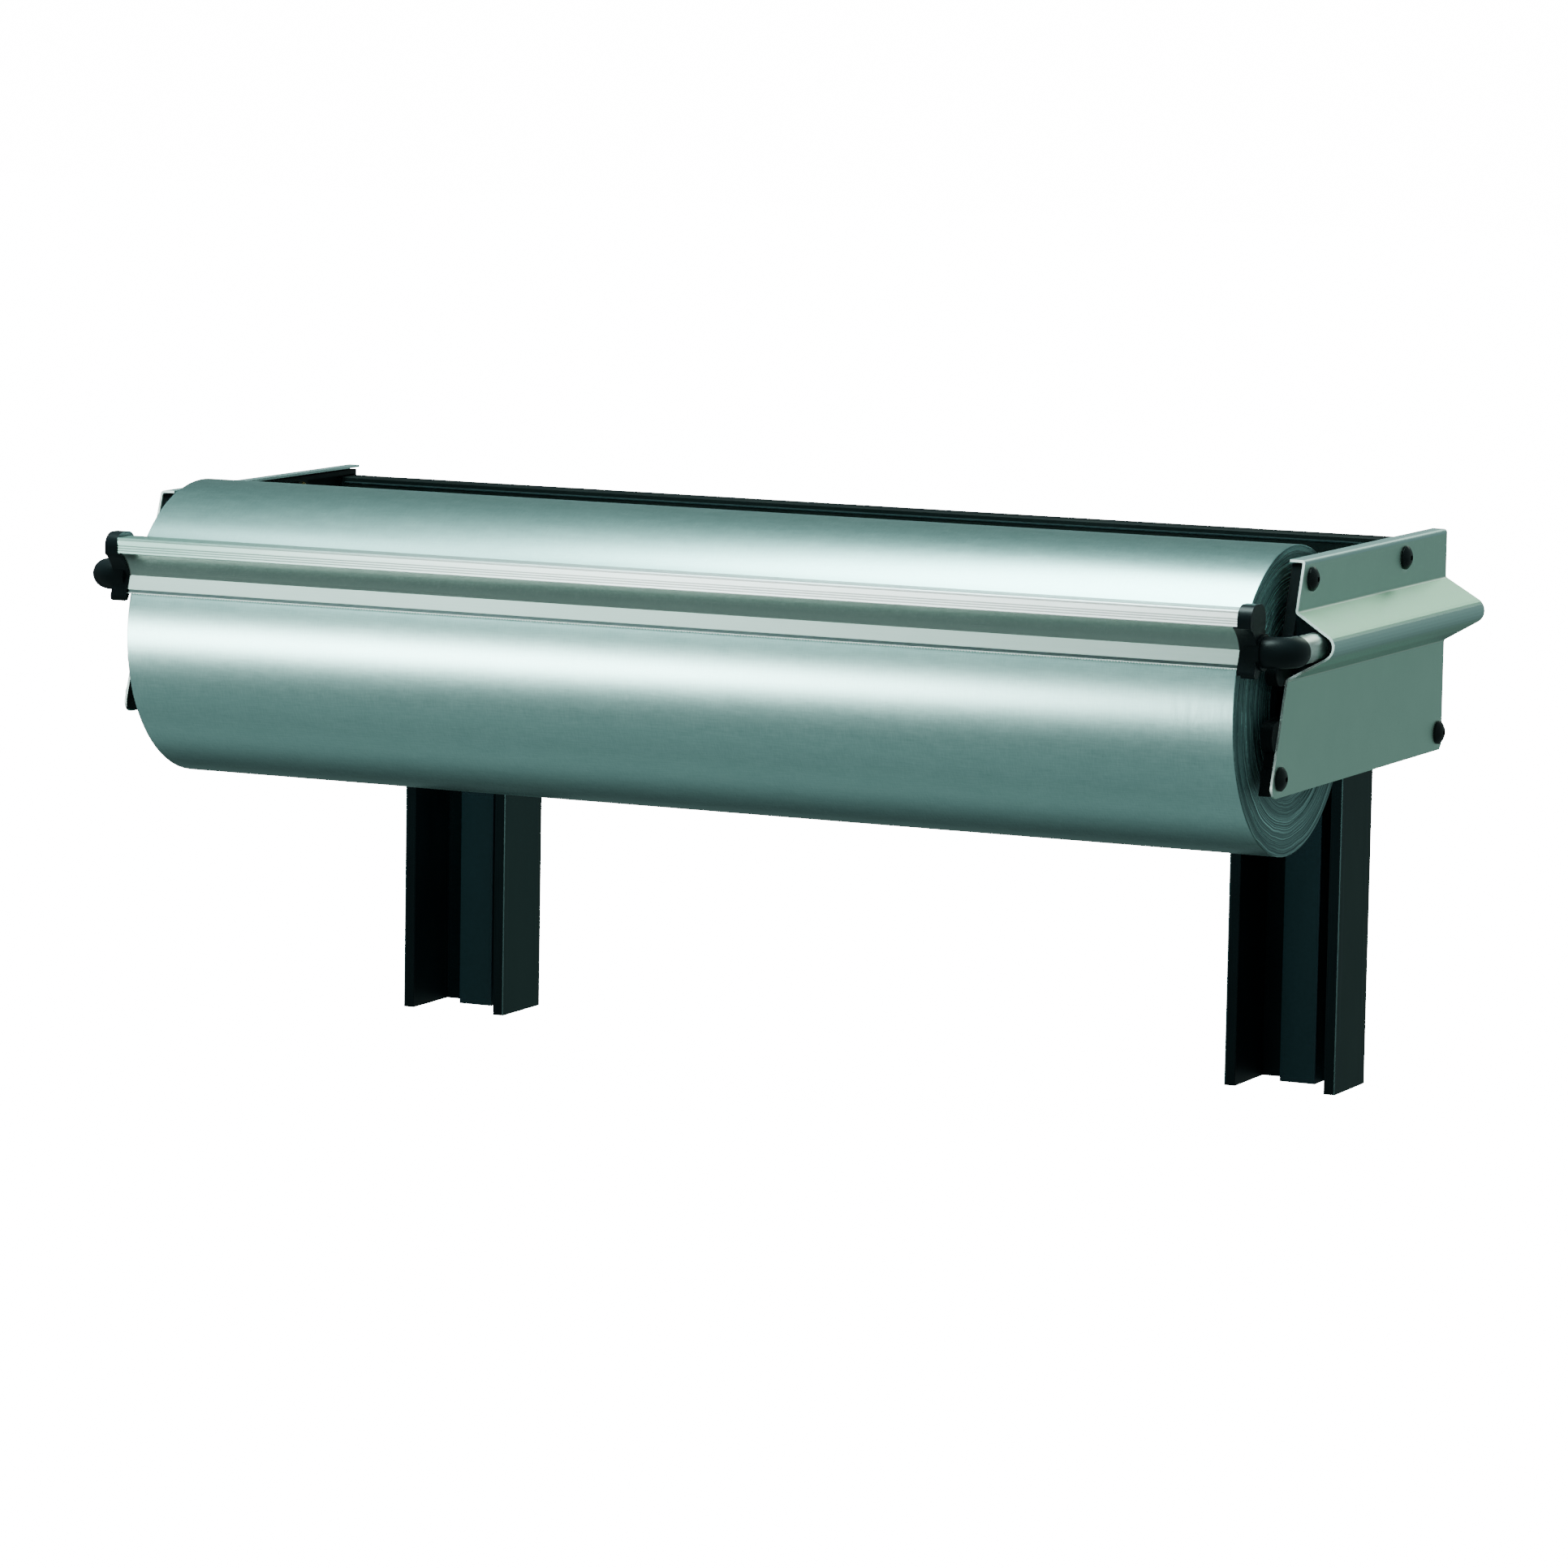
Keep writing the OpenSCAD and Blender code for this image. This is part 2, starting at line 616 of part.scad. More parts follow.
module side_plate() {
    rib_x = plate_in + plate_web / 2;
    color([0.06, 0.065, 0.07])
        difference() {
            union() {
                along_x(floor_x, plate_out) plate_shape(0);
                along_x(plate_in, floor_x)
                    difference() {
                        plate_shape(0);
                        plate_shape(rim_w);
                    }
                along_x(rib_x, floor_x) plate_ribs();
                for (p = screw_places)
                    translate([0, p[0], p[1]]) rod_x(plate_in, floor_x, boss_r);
                translate([plate_in, beam_front - rim_w / 2, beam_low - rim_w / 2])
                    cube([plate_t - plate_web, plate_back - beam_front + rim_w / 2, beam_h + rim_w / 2]);
                translate([0, anchor_y, arm_z]) rod_x(plate_in, floor_x, anchor_r + rim_w);
            }
            for (p = screw_places)
                translate([0, p[0], p[1]]) {
                    rod_x(plate_in - over, plate_out + over, screw_r + hole_fit / 2);
                    rod_x(plate_in - over, floor_x, nut_corner_r + side_gap, hex_sides);
                }
            for (y = bush_mids)
                translate([0, y, arm_z])
                    rod_x(floor_x - over, plate_out + over, bush_spigot_r + seat_fit, fine_fn);
            translate([0, anchor_y, arm_z])
                rod_x(plate_in - over, plate_out + over, anchor_r + seat_fit, fine_fn);
            for (z = beam_port_zs)
                translate([plate_out, beam_mid, z]) {
                    rod_x(-plate_t - over, over, small_screw_r + hole_fit / 2, fine_fn);
                    translate([-small_screw_r - hole_fit, 0, 0]) rotate([0, 90, 0])
                        cylinder(h = small_screw_r + hole_fit, r1 = small_screw_r,
                                 r2 = 2 * small_screw_r + hole_fit, $fn = fine_fn);
                }
            translate([plate_in - over, plate_back, -cheek_low - over])
                cube([plate_t + 2 * over, boss_r, cheek_top + cheek_low]);
        }
}
module left_side_plate() left_side() side_plate();
module right_side_plate() right_side() side_plate();

// Cheek: folded sheet cut to the slanted outline
module cheek_outline() {
    top = cheek_top + over;
    rounded_poly([[edge_y(top), top], [edge_y(-cheek_low), -cheek_low],
                  [cheek_back - cheek_chamfer, -cheek_low], [cheek_back, cheek_chamfer - cheek_low],
                  [cheek_back, top]], [0, cheek_corner, 0, 0, 0]);
}
module cheek() {
    ridge_tip = cheek_out + channel_half / tan(channel_slope);
    path = [[cheek_out - flange_w, cheek_top], [cheek_out, cheek_top], [cheek_out, arm_z + channel_half],
            [ridge_tip, arm_z], [cheek_out, arm_z - channel_half], [cheek_out, -cheek_low - over]];
    color([0.72, 0.76, 0.74])
        difference() {
            intersection() {
                along_y(-cheek_front_low - over, cheek_back + over)
                    folded(path, [flange_bend, crease_bend, channel_bend, crease_bend], sheet_t);
                along_x(cheek_out - flange_w - over, ridge_tip + over) cheek_outline();
            }
            for (p = screw_places)
                translate([0, p[0], p[1]])
                    rod_x(cheek_out - sheet_t - over, cheek_out + over, screw_r + hole_fit / 2);
        }
}
module left_cheek() left_side() cheek();
module right_cheek() right_side() cheek();

// Cheek screws and their nuts
thread_end = 1;
module cheek_screws() {
    length = cheek_out - floor_x + nut_t + thread_end;
    color([0.05, 0.05, 0.05])
        for (p = screw_places)
            translate([cheek_out, p[0], p[1]]) button_screw(screw_r, screw_head_r, screw_head_h, length);
}
module left_cheek_screws() left_side() cheek_screws();
module right_cheek_screws() right_side() cheek_screws();
module cheek_nuts() {
    color([0.72, 0.6, 0.3])
        for (p = screw_places)
            translate([0, p[0], p[1]])
                difference() {
                    rod_x(floor_x - nut_t, floor_x, nut_corner_r, hex_sides);
                    rod_x(floor_x - nut_t - over, floor_x + over, screw_r + seat_fit, fine_fn);
                }
}
module left_cheek_nuts() left_side() cheek_nuts();
module right_cheek_nuts() right_side() cheek_nuts();

// Nylon saddle: a U that lines the seat of the axle slot
module axle_saddle() {
    seat_r = axle_r + run_fit;
    shell_r = seat_r + saddle_wall;
    color([0.8, 0.8, 0.77]) along_x(plate_in, plate_out)
        difference() {
            union() {
                circle(r = shell_r, $fn = round_fn);
                translate([-saddle_leg, -shell_r]) square([saddle_leg, 2 * shell_r]);
            }
            circle(r = seat_r, $fn = round_fn);
            translate([-shell_r - over, -seat_r]) square([shell_r + over, 2 * seat_r]);
        }
}
module left_axle_saddle() left_side() axle_saddle();
module right_axle_saddle() right_side() axle_saddle();

// Guide bush: fills the channel round the arm, with a spigot in the side plate
bush_gap = 0.2;
module bush_shape() {
    nose_r = ridge_in_r - bush_gap;
    root_half = channel_half + sheet_t * tan(channel_slope) - (sheet_t + bush_gap) / cos(channel_slope);
    nose = [nose_r * sin(channel_slope), nose_r * cos(channel_slope)];
    difference() {
        union() {
            translate([ridge_x, arm_z]) circle(r = nose_r, $fn = round_fn);
            polygon([[plate_out, arm_z - root_half], [ridge_x + nose[0], arm_z - nose[1]],
                     [ridge_x + nose[0], arm_z + nose[1]], [plate_out, arm_z + root_half]]);
        }
        translate([arm_x, arm_z]) circle(r = tube_r + run_fit, $fn = round_fn);
    }
}
module guide_bush(y_mid) {
    color([0.04, 0.045, 0.05]) {
        along_y(y_mid - bush_len / 2, y_mid + bush_len / 2) bush_shape();
        translate([0, y_mid, arm_z]) rod_x(floor_x, plate_out, bush_spigot_r, fine_fn);
    }
}
module left_front_bush() left_side() guide_bush(bush_mids[0]);
module right_front_bush() right_side() guide_bush(bush_mids[0]);
module left_rear_bush() left_side() guide_bush(bush_mids[1]);
module right_rear_bush() right_side() guide_bush(bush_mids[1]);

// Anchor pin with a groove for the spring's end
groove_deep = 1.2;
anchor_past = 12;
module spring_anchor() {
    color([0.6, 0.62, 0.64])
        translate([0, anchor_y, arm_z])
            difference() {
                rod_x(plate_in + side_gap, arm_x + anchor_past, anchor_r, fine_fn);
                difference() {
                    rod_x(arm_x - 2 * wire_r, arm_x + 2 * wire_r, anchor_r + over, fine_fn);
                    rod_x(arm_x - 2 * wire_r - over, arm_x + 2 * wire_r + over,
                          anchor_r - groove_deep, fine_fn);
                }
            }
}
module left_spring_anchor() left_side() spring_anchor();
module right_spring_anchor() right_side() spring_anchor();

// Pull spring: one unbroken wire, straight at both ends, that spirals out to its coil and in again
collar_t = 2;
turn_rings = 8;
wire_sides = 6;
spring_from = tube_end + collar_t + seat_fit;
spring_to = anchor_y - anchor_r + groove_deep - 2 * seat_fit;
straight = 2 * wire_r;
wound = coil_turns + 2;
wound_len = spring_to - spring_from - 2 * straight;
function wire_radius(t) = coil_r * min(1, t, wound - t);
wire_points = concat(
    [[0, spring_from, 0]],
    [for (i = [0:wound * turn_rings]) let (t = i / turn_rings, a = t * full_turn)
        [wire_radius(t) * cos(a), spring_from + straight + wound_len * t / wound, wire_radius(t) * sin(a)]],
    [[0, spring_to, 0]]);
wire_angles = concat([0], [for (i = [0:wound * turn_rings]) full_turn * i / turn_rings],
                     [full_turn * wound]);
function wire_dir(i) = unit(wire_points[min(i + 1, len(wire_points) - 1)] - wire_points[max(i - 1, 0)]);
function ring_at(i) =
    let (along = i == 0 || i == len(wire_points) - 1 ? [0, 1, 0] : wire_dir(i),
         spoke = [cos(wire_angles[i]), 0, sin(wire_angles[i])],
         u = unit(spoke - (spoke * along) * along),
         v = cross(along, u))
    [for (k = [0:wire_sides - 1]) let (a = full_turn * k / wire_sides)
        wire_points[i] + wire_r * (cos(a) * u + sin(a) * v)];
module spring_coil() {
    rings = len(wire_points);
    points = [for (i = [0:rings - 1]) each ring_at(i)];
    walls = [for (i = [0:rings - 2], k = [0:wire_sides - 1], half = [0, 1])
        let (a = i * wire_sides + k, b = i * wire_sides + (k + 1) % wire_sides)
        half == 0 ? [a, b, b + wire_sides] : [a, b + wire_sides, a + wire_sides]];
    ends = [for (k = [1:wire_sides - 2], end = [0, 1])
        let (base = end * (rings - 1) * wire_sides)
        end == 0 ? [0, k + 1, k] : [base, base + k, base + k + 1]];
    color([0.7, 0.71, 0.72]) translate([arm_x, 0, arm_z]) polyhedron(points, concat(walls, ends));
}
pitch = wound_len / wound;
echo(spring_least_self_gap = pitch - 2 * wire_r);
module left_spring() left_side() spring_coil();
module right_spring() right_side() spring_coil();

// Paper roll, its core and the axle
module paper_roll() {
    color([0.8, 0.84, 0.84]) at_roll()
        difference() {
            rod_x(-roll_end, roll_end, roll_r);
            rod_x(-roll_end - over, roll_end + over, core_r + core_wall + seat_fit);
        }
}
module core_tube() {
    color([0.6, 0.47, 0.33]) at_roll()
        difference() {
            rod_x(-roll_end, roll_end, core_r + core_wall);
            rod_x(-roll_end - over, roll_end + over, core_r);
        }
}
axle_end = plate_out - axle_end_gap;
module axle_rod() {
    color([0.65, 0.67, 0.69]) at_roll() rod_x(-axle_end, axle_end, axle_r);
}

// Core plug: flange, hub and a tapered cup with an inner sleeve on the axle
module core_plug() {
    bore_r = axle_r + seat_fit;
    inner = roll_end - plug_depth;
    rim_r = core_r - 2 * seat_fit;
    tip_r = core_r - plug_taper;
    hub_end = plate_in - side_gap;
    color([0.08, 0.085, 0.09]) rotate([0, 90, 0]) rotate_extrude($fn = round_fn)
        polygon([[bore_r, inner], [bore_r + plug_wall, inner], [bore_r + plug_wall, roll_end],
                 [rim_r - plug_wall, roll_end], [tip_r - plug_wall, inner], [tip_r, inner],
                 [rim_r, roll_end], [plug_flange_r, roll_end], [plug_flange_r, roll_end + plug_flange_t],
                 [plug_hub_r, roll_end + plug_flange_t], [plug_hub_r, hub_end], [bore_r, hub_end]]);
}
module left_core_plug() left_side() core_plug();
module right_core_plug() right_side() core_plug();

// Cutter bar: a hollow box behind a ribbed strip, a concave web and a leaning lip with the blade's slot
lip_turn = atan(lip_lean);
lip_foot = [lip_back_y, lip_low];
lip_front = [lip_top_y - lip_t * cos(lip_turn), lip_top + lip_t * sin(lip_turn)];
strip_foot = [bar_front_y, strip_low];
web_chord = norm(lip_front - strip_foot);
web_in = -right_of(unit(lip_front - strip_foot));
web_deep = web_r - sqrt(web_r * web_r - pow(web_chord / 2, 2));
web_mid = (lip_front + strip_foot) / 2 - web_in * (web_r - web_deep);
module web_cut(grow) {
    from = strip_foot - web_in * grow;
    to = lip_front - web_in * grow;
    intersection() {
        translate(web_mid) circle(r = web_r - grow, $fn = round_fn);
        polygon([from - web_in * over, to - web_in * over,
                 to + web_in * (web_deep + over), from + web_in * (web_deep + over)]);
    }
}
heel_slope = (heel_y - lip_top_y) / (heel_z - lip_top);
module bar_room(inset) {
    wall = bar_wall + inset;
    low = lip_top + 2 * lip_t + inset;
    shift = lip_top_y - wall * sqrt(1 + heel_slope * heel_slope);
    rear = heel_y - wall;
    front = bar_front_y + rib_deep + wall;
    difference() {
        polygon([[front, low], [shift + heel_slope * (low - lip_top), low],
                 [rear, lip_top + (rear - shift) / heel_slope],
                 [rear, bar_top - wall], [front, bar_top - wall]]);
        translate(web_mid) circle(r = web_r + wall, $fn = round_fn);
    }
}
bar_round = 1.5;
groove_w = 0.9;
groove_shares = [0.18, 0.33, 0.48, 0.86];
module bar_section() {
    slot_w = blade_t + 2 * seat_fit;
    difference() {
        rounded_poly([strip_foot, lip_front, lip_front + lip_foot - [lip_top_y, lip_top], lip_foot,
                      [lip_top_y, lip_top], [heel_y, heel_z], [heel_y, bar_top], [bar_front_y, bar_top]],
                     [0, 0, 0, 0, 0, 0, 0, bar_round]);
        web_cut(0);
        bar_room(0);
        for (share = groove_shares)
            translate([bar_front_y - over, strip_low + share * strip_h - groove_w / 2])
                square([over + rib_deep, groove_w]);
        translate(lip_foot) rotate(-lip_turn)
            translate([-(lip_t + slot_w) / 2, -over])
                square([slot_w, blade_h - blade_show + seat_fit + over]);
    }
}
module cutter_bar() {
    color([0.78, 0.82, 0.8]) at_roll() along_x(-bar_end, bar_end) bar_section();
}

// Blade: one strip whose lower edge is cut into teeth; it stands in the lip's slot
module blade() {
    half = bar_end - side_gap;
    pitch_x = 2 * half / tooth_count;
    color([0.8, 0.82, 0.84]) at_roll()
        translate([0, lip_back_y, lip_low]) rotate([90 - lip_turn, 0, 0])
            translate([0, 0, (lip_t - blade_t) / 2])
                linear_extrude(blade_t)
                    polygon(concat(
                        [[half, blade_h - blade_show], [-half, blade_h - blade_show]],
                        [for (i = [0:tooth_count - 1], k = [0, 1])
                            [(i + k / 2) * pitch_x - half, -blade_show + (k == 0 ? tooth_deep : 0)]],
                        [[half, tooth_deep - blade_show]]));
}

// End cap: closes the bar, laps over its web and lip, and carries a hub and a socket for the arm
cap_lip = 1.5;
rim_gap = 0.2;
cap_low_z = 30;
cap_low_w = 11;
hub_root = 3;
module cap_outline() {
    front = bar_front_y - cap_lip;
    rear = heel_y + cap_back;
    top = bar_top + cap_rise;
    tip_y = lip_back_y - lip_t - cap_lip + lip_lean * (cap_low_z - lip_low);
    difference() {
        rounded_poly([strip_foot - web_in * cap_lip, lip_front - web_in * cap_lip, [tip_y, cap_low_z],
                      [tip_y + cap_low_w, cap_low_z], [rear, lip_top],
                      [rear, top], [front, top]],
                     [0, 0, cap_tip_r, cap_tip_r, 0, cap_lobe_r, cap_lobe_r]);
        web_cut(cap_lip);
    }
}
module behind_bar_front() {
    lip_normal = [-cos(lip_turn), sin(lip_turn)];
    lip_down = cap_low_z - over - lip_front[1];
    lip_start = lip_front + rim_gap * lip_normal;
    difference() {
        polygon([[bar_front_y - cap_lip - over, strip_low], strip_foot - web_in * rim_gap, lip_start,
                 lip_start + lip_down * [lip_lean, 1], [0, lip_start[1] + lip_down],
                 [0, bar_top + cap_rise + over], [bar_front_y - cap_lip - over, bar_top + cap_rise + over]]);
        web_cut(rim_gap);
    }
}
module end_cap() {
    color([0.05, 0.055, 0.06])
        difference() {
            union() {
                along_x(bar_end, cap_out) cap_outline();
                along_x(bar_end - cap_rim, bar_end + over)
                    difference() {
                        cap_outline();
                        behind_bar_front();
                    }
                along_x(bar_end - cap_spigot, bar_end) bar_room(seat_fit);
                translate([0, stub_y, arm_z]) rod_x(bar_end + hub_root, cap_out + cap_hub_h, cap_hub_r);
            }
            translate([0, stub_y, arm_z]) rod_x(socket_x, cap_out + cap_hub_h + over, tube_r + seat_fit);
        }
}
socket_x = bar_end + 1;
module left_end_cap() left_side() end_cap();
module right_end_cap() right_side() end_cap();

// Arm: tube out of the cap, round the elbow and back into the channel
module ring(r_in, r_out) {
    difference() {
        circle(r = r_out, $fn = round_fn);
        circle(r = r_in, $fn = round_fn);
    }
}
module bent_tube(from_x, to_y, r_in, r_out) {
    translate([0, stub_y, arm_z]) along_x(from_x, arm_x - elbow_r) ring(r_in, r_out);
    translate([arm_x - elbow_r, bend_y, arm_z]) rotate([0, 0, -90])
        rotate_extrude(angle = 90, $fn = round_fn) translate([elbow_r, 0]) ring(r_in, r_out);
    if (to_y > bend_y)
        translate([arm_x, 0, arm_z]) along_y(bend_y, to_y) ring(r_in, r_out);
}
pin_back = 6;
module arm() {
    color([0.68, 0.7, 0.71])
        difference() {
            bent_tube(socket_x, tube_end, tube_in_r, tube_r);
            translate([arm_x, tube_end - pin_back, arm_z - tube_r - over])
                cylinder(h = 2 * (tube_r + over), r = cross_pin_r + seat_fit, $fn = fine_fn);
        }
}
module left_arm() left_side() arm();
module right_arm() right_side() arm();
sleeve_past = 2;
module arm_sleeve() {
    color([0.05, 0.055, 0.06])
        bent_tube(cap_out + cap_hub_h, bend_y + sleeve_past, tube_r + seat_fit, sleeve_r);
}
module left_arm_sleeve() left_side() arm_sleeve();
module right_arm_sleeve() right_side() arm_sleeve();

// Plug in the arm's rear end, and the cross pin that holds it
plug_len = 12;
module arm_plug() {
    color([0.3, 0.31, 0.32])
        translate([arm_x, 0, arm_z])
            difference() {
                union() {
                    rod_y(tube_end - plug_len, tube_end + seat_fit, tube_in_r - seat_fit);
                    rod_y(tube_end, tube_end + collar_t, tube_r - side_gap);
                }
                translate([0, tube_end - pin_back, -tube_r])
                    cylinder(h = 2 * tube_r, r = cross_pin_r + seat_fit, $fn = fine_fn);
            }
}
module left_arm_plug() left_side() arm_plug();
module right_arm_plug() right_side() arm_plug();
module plug_pin() {
    color([0.6, 0.62, 0.64])
        translate([arm_x, tube_end - pin_back, arm_z - tube_r + side_gap])
            cylinder(h = 2 * (tube_r - side_gap), r = cross_pin_r, $fn = fine_fn);
}
module left_plug_pin() left_side() plug_pin();
module right_plug_pin() right_side() plug_pin();

left_post();
right_post();
left_post_bracket();
right_post_bracket();
left_bracket_screws();
right_bracket_screws();
left_slot_nuts();
right_slot_nuts();
rear_beam();
left_beam_screws();
right_beam_screws();
left_side_plate();
right_side_plate();
left_cheek();
right_cheek();
left_cheek_screws();
right_cheek_screws();
left_cheek_nuts();
right_cheek_nuts();
left_axle_saddle();
right_axle_saddle();
left_front_bush();
right_front_bush();
left_rear_bush();
right_rear_bush();
left_spring_anchor();
right_spring_anchor();
left_spring();
right_spring();
paper_roll();
core_tube();
axle_rod();
left_core_plug();
right_core_plug();
cutter_bar();
blade();
left_end_cap();
right_end_cap();
left_arm();
right_arm();
left_arm_sleeve();
right_arm_sleeve();
left_arm_plug();
right_arm_plug();
left_plug_pin();
right_plug_pin();
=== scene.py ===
import json
import math
import random
import bpy
from mathutils import Matrix, Vector


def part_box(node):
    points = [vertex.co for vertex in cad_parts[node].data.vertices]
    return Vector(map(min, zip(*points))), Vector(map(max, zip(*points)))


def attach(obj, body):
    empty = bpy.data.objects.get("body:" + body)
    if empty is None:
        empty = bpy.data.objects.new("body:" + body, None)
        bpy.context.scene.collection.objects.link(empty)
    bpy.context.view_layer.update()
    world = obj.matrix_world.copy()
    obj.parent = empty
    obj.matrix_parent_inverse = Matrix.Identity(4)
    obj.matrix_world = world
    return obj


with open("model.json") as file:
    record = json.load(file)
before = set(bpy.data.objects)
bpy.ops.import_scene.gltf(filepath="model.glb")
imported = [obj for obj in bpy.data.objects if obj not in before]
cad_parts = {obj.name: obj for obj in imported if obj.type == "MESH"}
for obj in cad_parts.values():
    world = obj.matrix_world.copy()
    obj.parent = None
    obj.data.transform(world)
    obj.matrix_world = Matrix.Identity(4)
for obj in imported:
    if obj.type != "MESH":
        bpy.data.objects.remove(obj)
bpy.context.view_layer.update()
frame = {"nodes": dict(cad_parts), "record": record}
print("frame loaded:", len(frame["nodes"]), "nodes")

mm = 0.001


class Wire:
    # a socket of a material; its operators add Math nodes
    def __init__(self, paint, socket):
        self.paint = paint
        self.socket = socket

    def maths(self, operation, first, second=0.0):
        return self.paint.add("ShaderNodeMath", {"operation": operation}, {0: first, 1: second})

    def __add__(self, other):
        return self.maths("ADD", self, other)

    def __radd__(self, other):
        return self.maths("ADD", other, self)

    def __sub__(self, other):
        return self.maths("SUBTRACT", self, other)

    def __rsub__(self, other):
        return self.maths("SUBTRACT", other, self)

    def __mul__(self, other):
        return self.maths("MULTIPLY", self, other)

    def __truediv__(self, other):
        return self.maths("DIVIDE", self, other)

    def __pow__(self, other):
        return self.maths("POWER", self, other)

    def __abs__(self):
        return self.maths("ABSOLUTE", self)

    def above(self, edge):
        return self.maths("GREATER_THAN", self, edge)

    def near(self, value, reach):
        return 1.0 - abs(self - value).above(reach)


def blend(wires, shares):
    # the wires added up, each by its share
    total = wires[0] * shares[0]
    for wire, share in zip(wires[1:], shares[1:]):
        total = total + wire * share
    return total


class Nodes:
    # adds nodes to one tree: a material's or the world's
    def __init__(self, tree):
        self.tree = tree

    def add(self, kind, settings, values, output=0):
        node = self.tree.nodes.new(kind)
        for key, value in settings.items():
            if key == "stops":
                self.fillRamp(node.color_ramp, value)
            else:
                setattr(node, key, value)
        for key, value in values.items():
            if isinstance(value, Wire):
                self.tree.links.new(value.socket, node.inputs[key])
            else:
                node.inputs[key].default_value = value
        return Wire(self, node.outputs[output])

    def fillRamp(self, ramp, stops):
        while len(ramp.elements) < len(stops):
            ramp.elements.new(1.0)
        for element, (position, shade) in zip(ramp.elements, stops):
            element.position = position
            element.color = (shade, shade, shade, 1.0)

    def ramp(self, value, stops):
        return self.add("ShaderNodeValToRGB", {"stops": stops}, {"Fac": value})

    def rise(self, value, low, high):
        # 0 at low and 1 at high, whichever is the larger
        return self.add("ShaderNodeMapRange", {}, {"Value": value, "From Min": low, "From Max": high})

    def mixColour(self, mask, first, second):
        # a Mix node of colours has its two colours on inputs 6 and 7 and its result on output 2
        values = {0: mask, 6: first, 7: second}
        for key in (6, 7):
            if not isinstance(values[key], Wire):
                values[key] = (*values[key], 1.0)
        return self.add("ShaderNodeMix", {"data_type": "RGBA"}, values, 2)

    def axis(self, vector, name):
        return self.add("ShaderNodeSeparateXYZ", {}, {0: vector}, name)


class Paint(Nodes):
    # one material: the numbers that are the same all over go straight on the shader
    def __init__(self, name, **constants):
        self.material = bpy.data.materials.new(name)
        self.material.use_nodes = True
        super().__init__(self.material.node_tree)
        self.shader = self.tree.nodes["Principled BSDF"]
        for socket, value in constants.items():
            self.shader.inputs[socket.replace("_", " ")].default_value = value
        self.place = self.add("ShaderNodeTexCoord", {}, {}, "Object")
        self.facing = self.add("ShaderNodeTexCoord", {}, {}, "Normal")

    def noise(self, size, stretch=(1, 1, 1), detail=3.0, rough=0.55):
        # size is the width of a blotch in metres; stretch makes it longer along an axis
        spread = tuple(1.0 / (size * s) for s in stretch)
        spot = self.add("ShaderNodeVectorMath", {"operation": "MULTIPLY"}, {0: self.place, 1: spread})
        return self.add("ShaderNodeTexNoise", {},
                        {"Vector": spot, "Scale": 1.0, "Detail": detail, "Roughness": rough})

    def facesFront(self, least):
        return (0.0 - self.axis(self.facing, "Y")).above(least)

    def aboveAxle(self):
        return self.axis(self.place, "Z") - rollMiddle[2]

    def feed(self, socket, wire):
        self.tree.links.new(wire.socket, self.shader.inputs[socket])

    def relief(self, height, depth, strength):
        bump = {"Height": height, "Distance": depth, "Strength": strength}
        self.feed("Normal", self.add("ShaderNodeBump", {}, bump))


def middle(node):
    low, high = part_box(node)
    return [(a + b) / 2 for a, b in zip(low, high)]


def addPiece(name, points, faces, material):
    mesh = bpy.data.meshes.new(name)
    mesh.from_pydata(points, [], faces)
    mesh.validate()
    mesh.materials.append(material)
    piece = bpy.data.objects.new(name, mesh)
    bpy.context.collection.objects.link(piece)
    return piece


rollMiddle = middle("paper_roll")
rollLow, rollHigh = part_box("paper_roll")
rollRadius = (rollHigh[2] - rollLow[2]) / 2

# Gift wrap: satin metallised paper, with threads along and round it as on a linen finish.
# The right end has been handled, so it is a little wrinkled
wrapLook = {
    "silver": (0.50, 0.745, 0.72), "dull": (0.405, 0.635, 0.615),
    "blotch": 9 * mm, "blotchShape": (2.5, 1, 1), "blotchDetail": 4.0,
    "band": 200 * mm, "bandShape": (0.4, 1, 1), "bandDetail": 2.0,
    "thread": 0.8 * mm, "threadShapes": ((16, 1, 1), (1, 9, 9)), "threadShares": (0.5, 0.5),
    "threadDetail": 2.0,
    "tintShares": (0.2, 0.1, 0.7), "tintStops": [(0.36, 0.0), (0.64, 1.0)],
    "rough": 0.24, "roughSpread": 0.11, "roughShares": (0.3, 0.7),
    "wrinkle": 13 * mm, "wrinkleShape": (1, 5, 5), "wrinkleDetail": 2.0,
    "wrinkledFrom": 0.40, "wrinkledTo": 0.49,
    "reliefShares": (0.35, 0.3, 2.2), "reliefDeep": 0.12 * mm, "reliefStrength": 0.5,
}


def wrapPaint():
    look = wrapLook
    paint = Paint("giftWrap", Metallic=1.0)
    blotch = paint.noise(look["blotch"], look["blotchShape"], look["blotchDetail"])
    band = paint.noise(look["band"], look["bandShape"], look["bandDetail"])
    threads = [paint.noise(look["thread"], shape, look["threadDetail"]) for shape in look["threadShapes"]]
    threads = blend(threads, look["threadShares"])
    mask = paint.ramp(blend([blotch, band, threads], look["tintShares"]), look["tintStops"])
    paint.feed("Base Color", paint.mixColour(mask, look["dull"], look["silver"]))
    uneven = blend([blotch, threads], look["roughShares"])
    paint.feed("Roughness", look["rough"] + uneven * look["roughSpread"])
    handled = paint.rise(paint.axis(paint.place, "X"), look["wrinkledFrom"], look["wrinkledTo"])
    wrinkles = paint.noise(look["wrinkle"], look["wrinkleShape"], look["wrinkleDetail"]) * handled
    height = blend([blotch, threads, wrinkles], look["reliefShares"])
    paint.relief(height, look["reliefDeep"], look["reliefStrength"])
    return paint.material


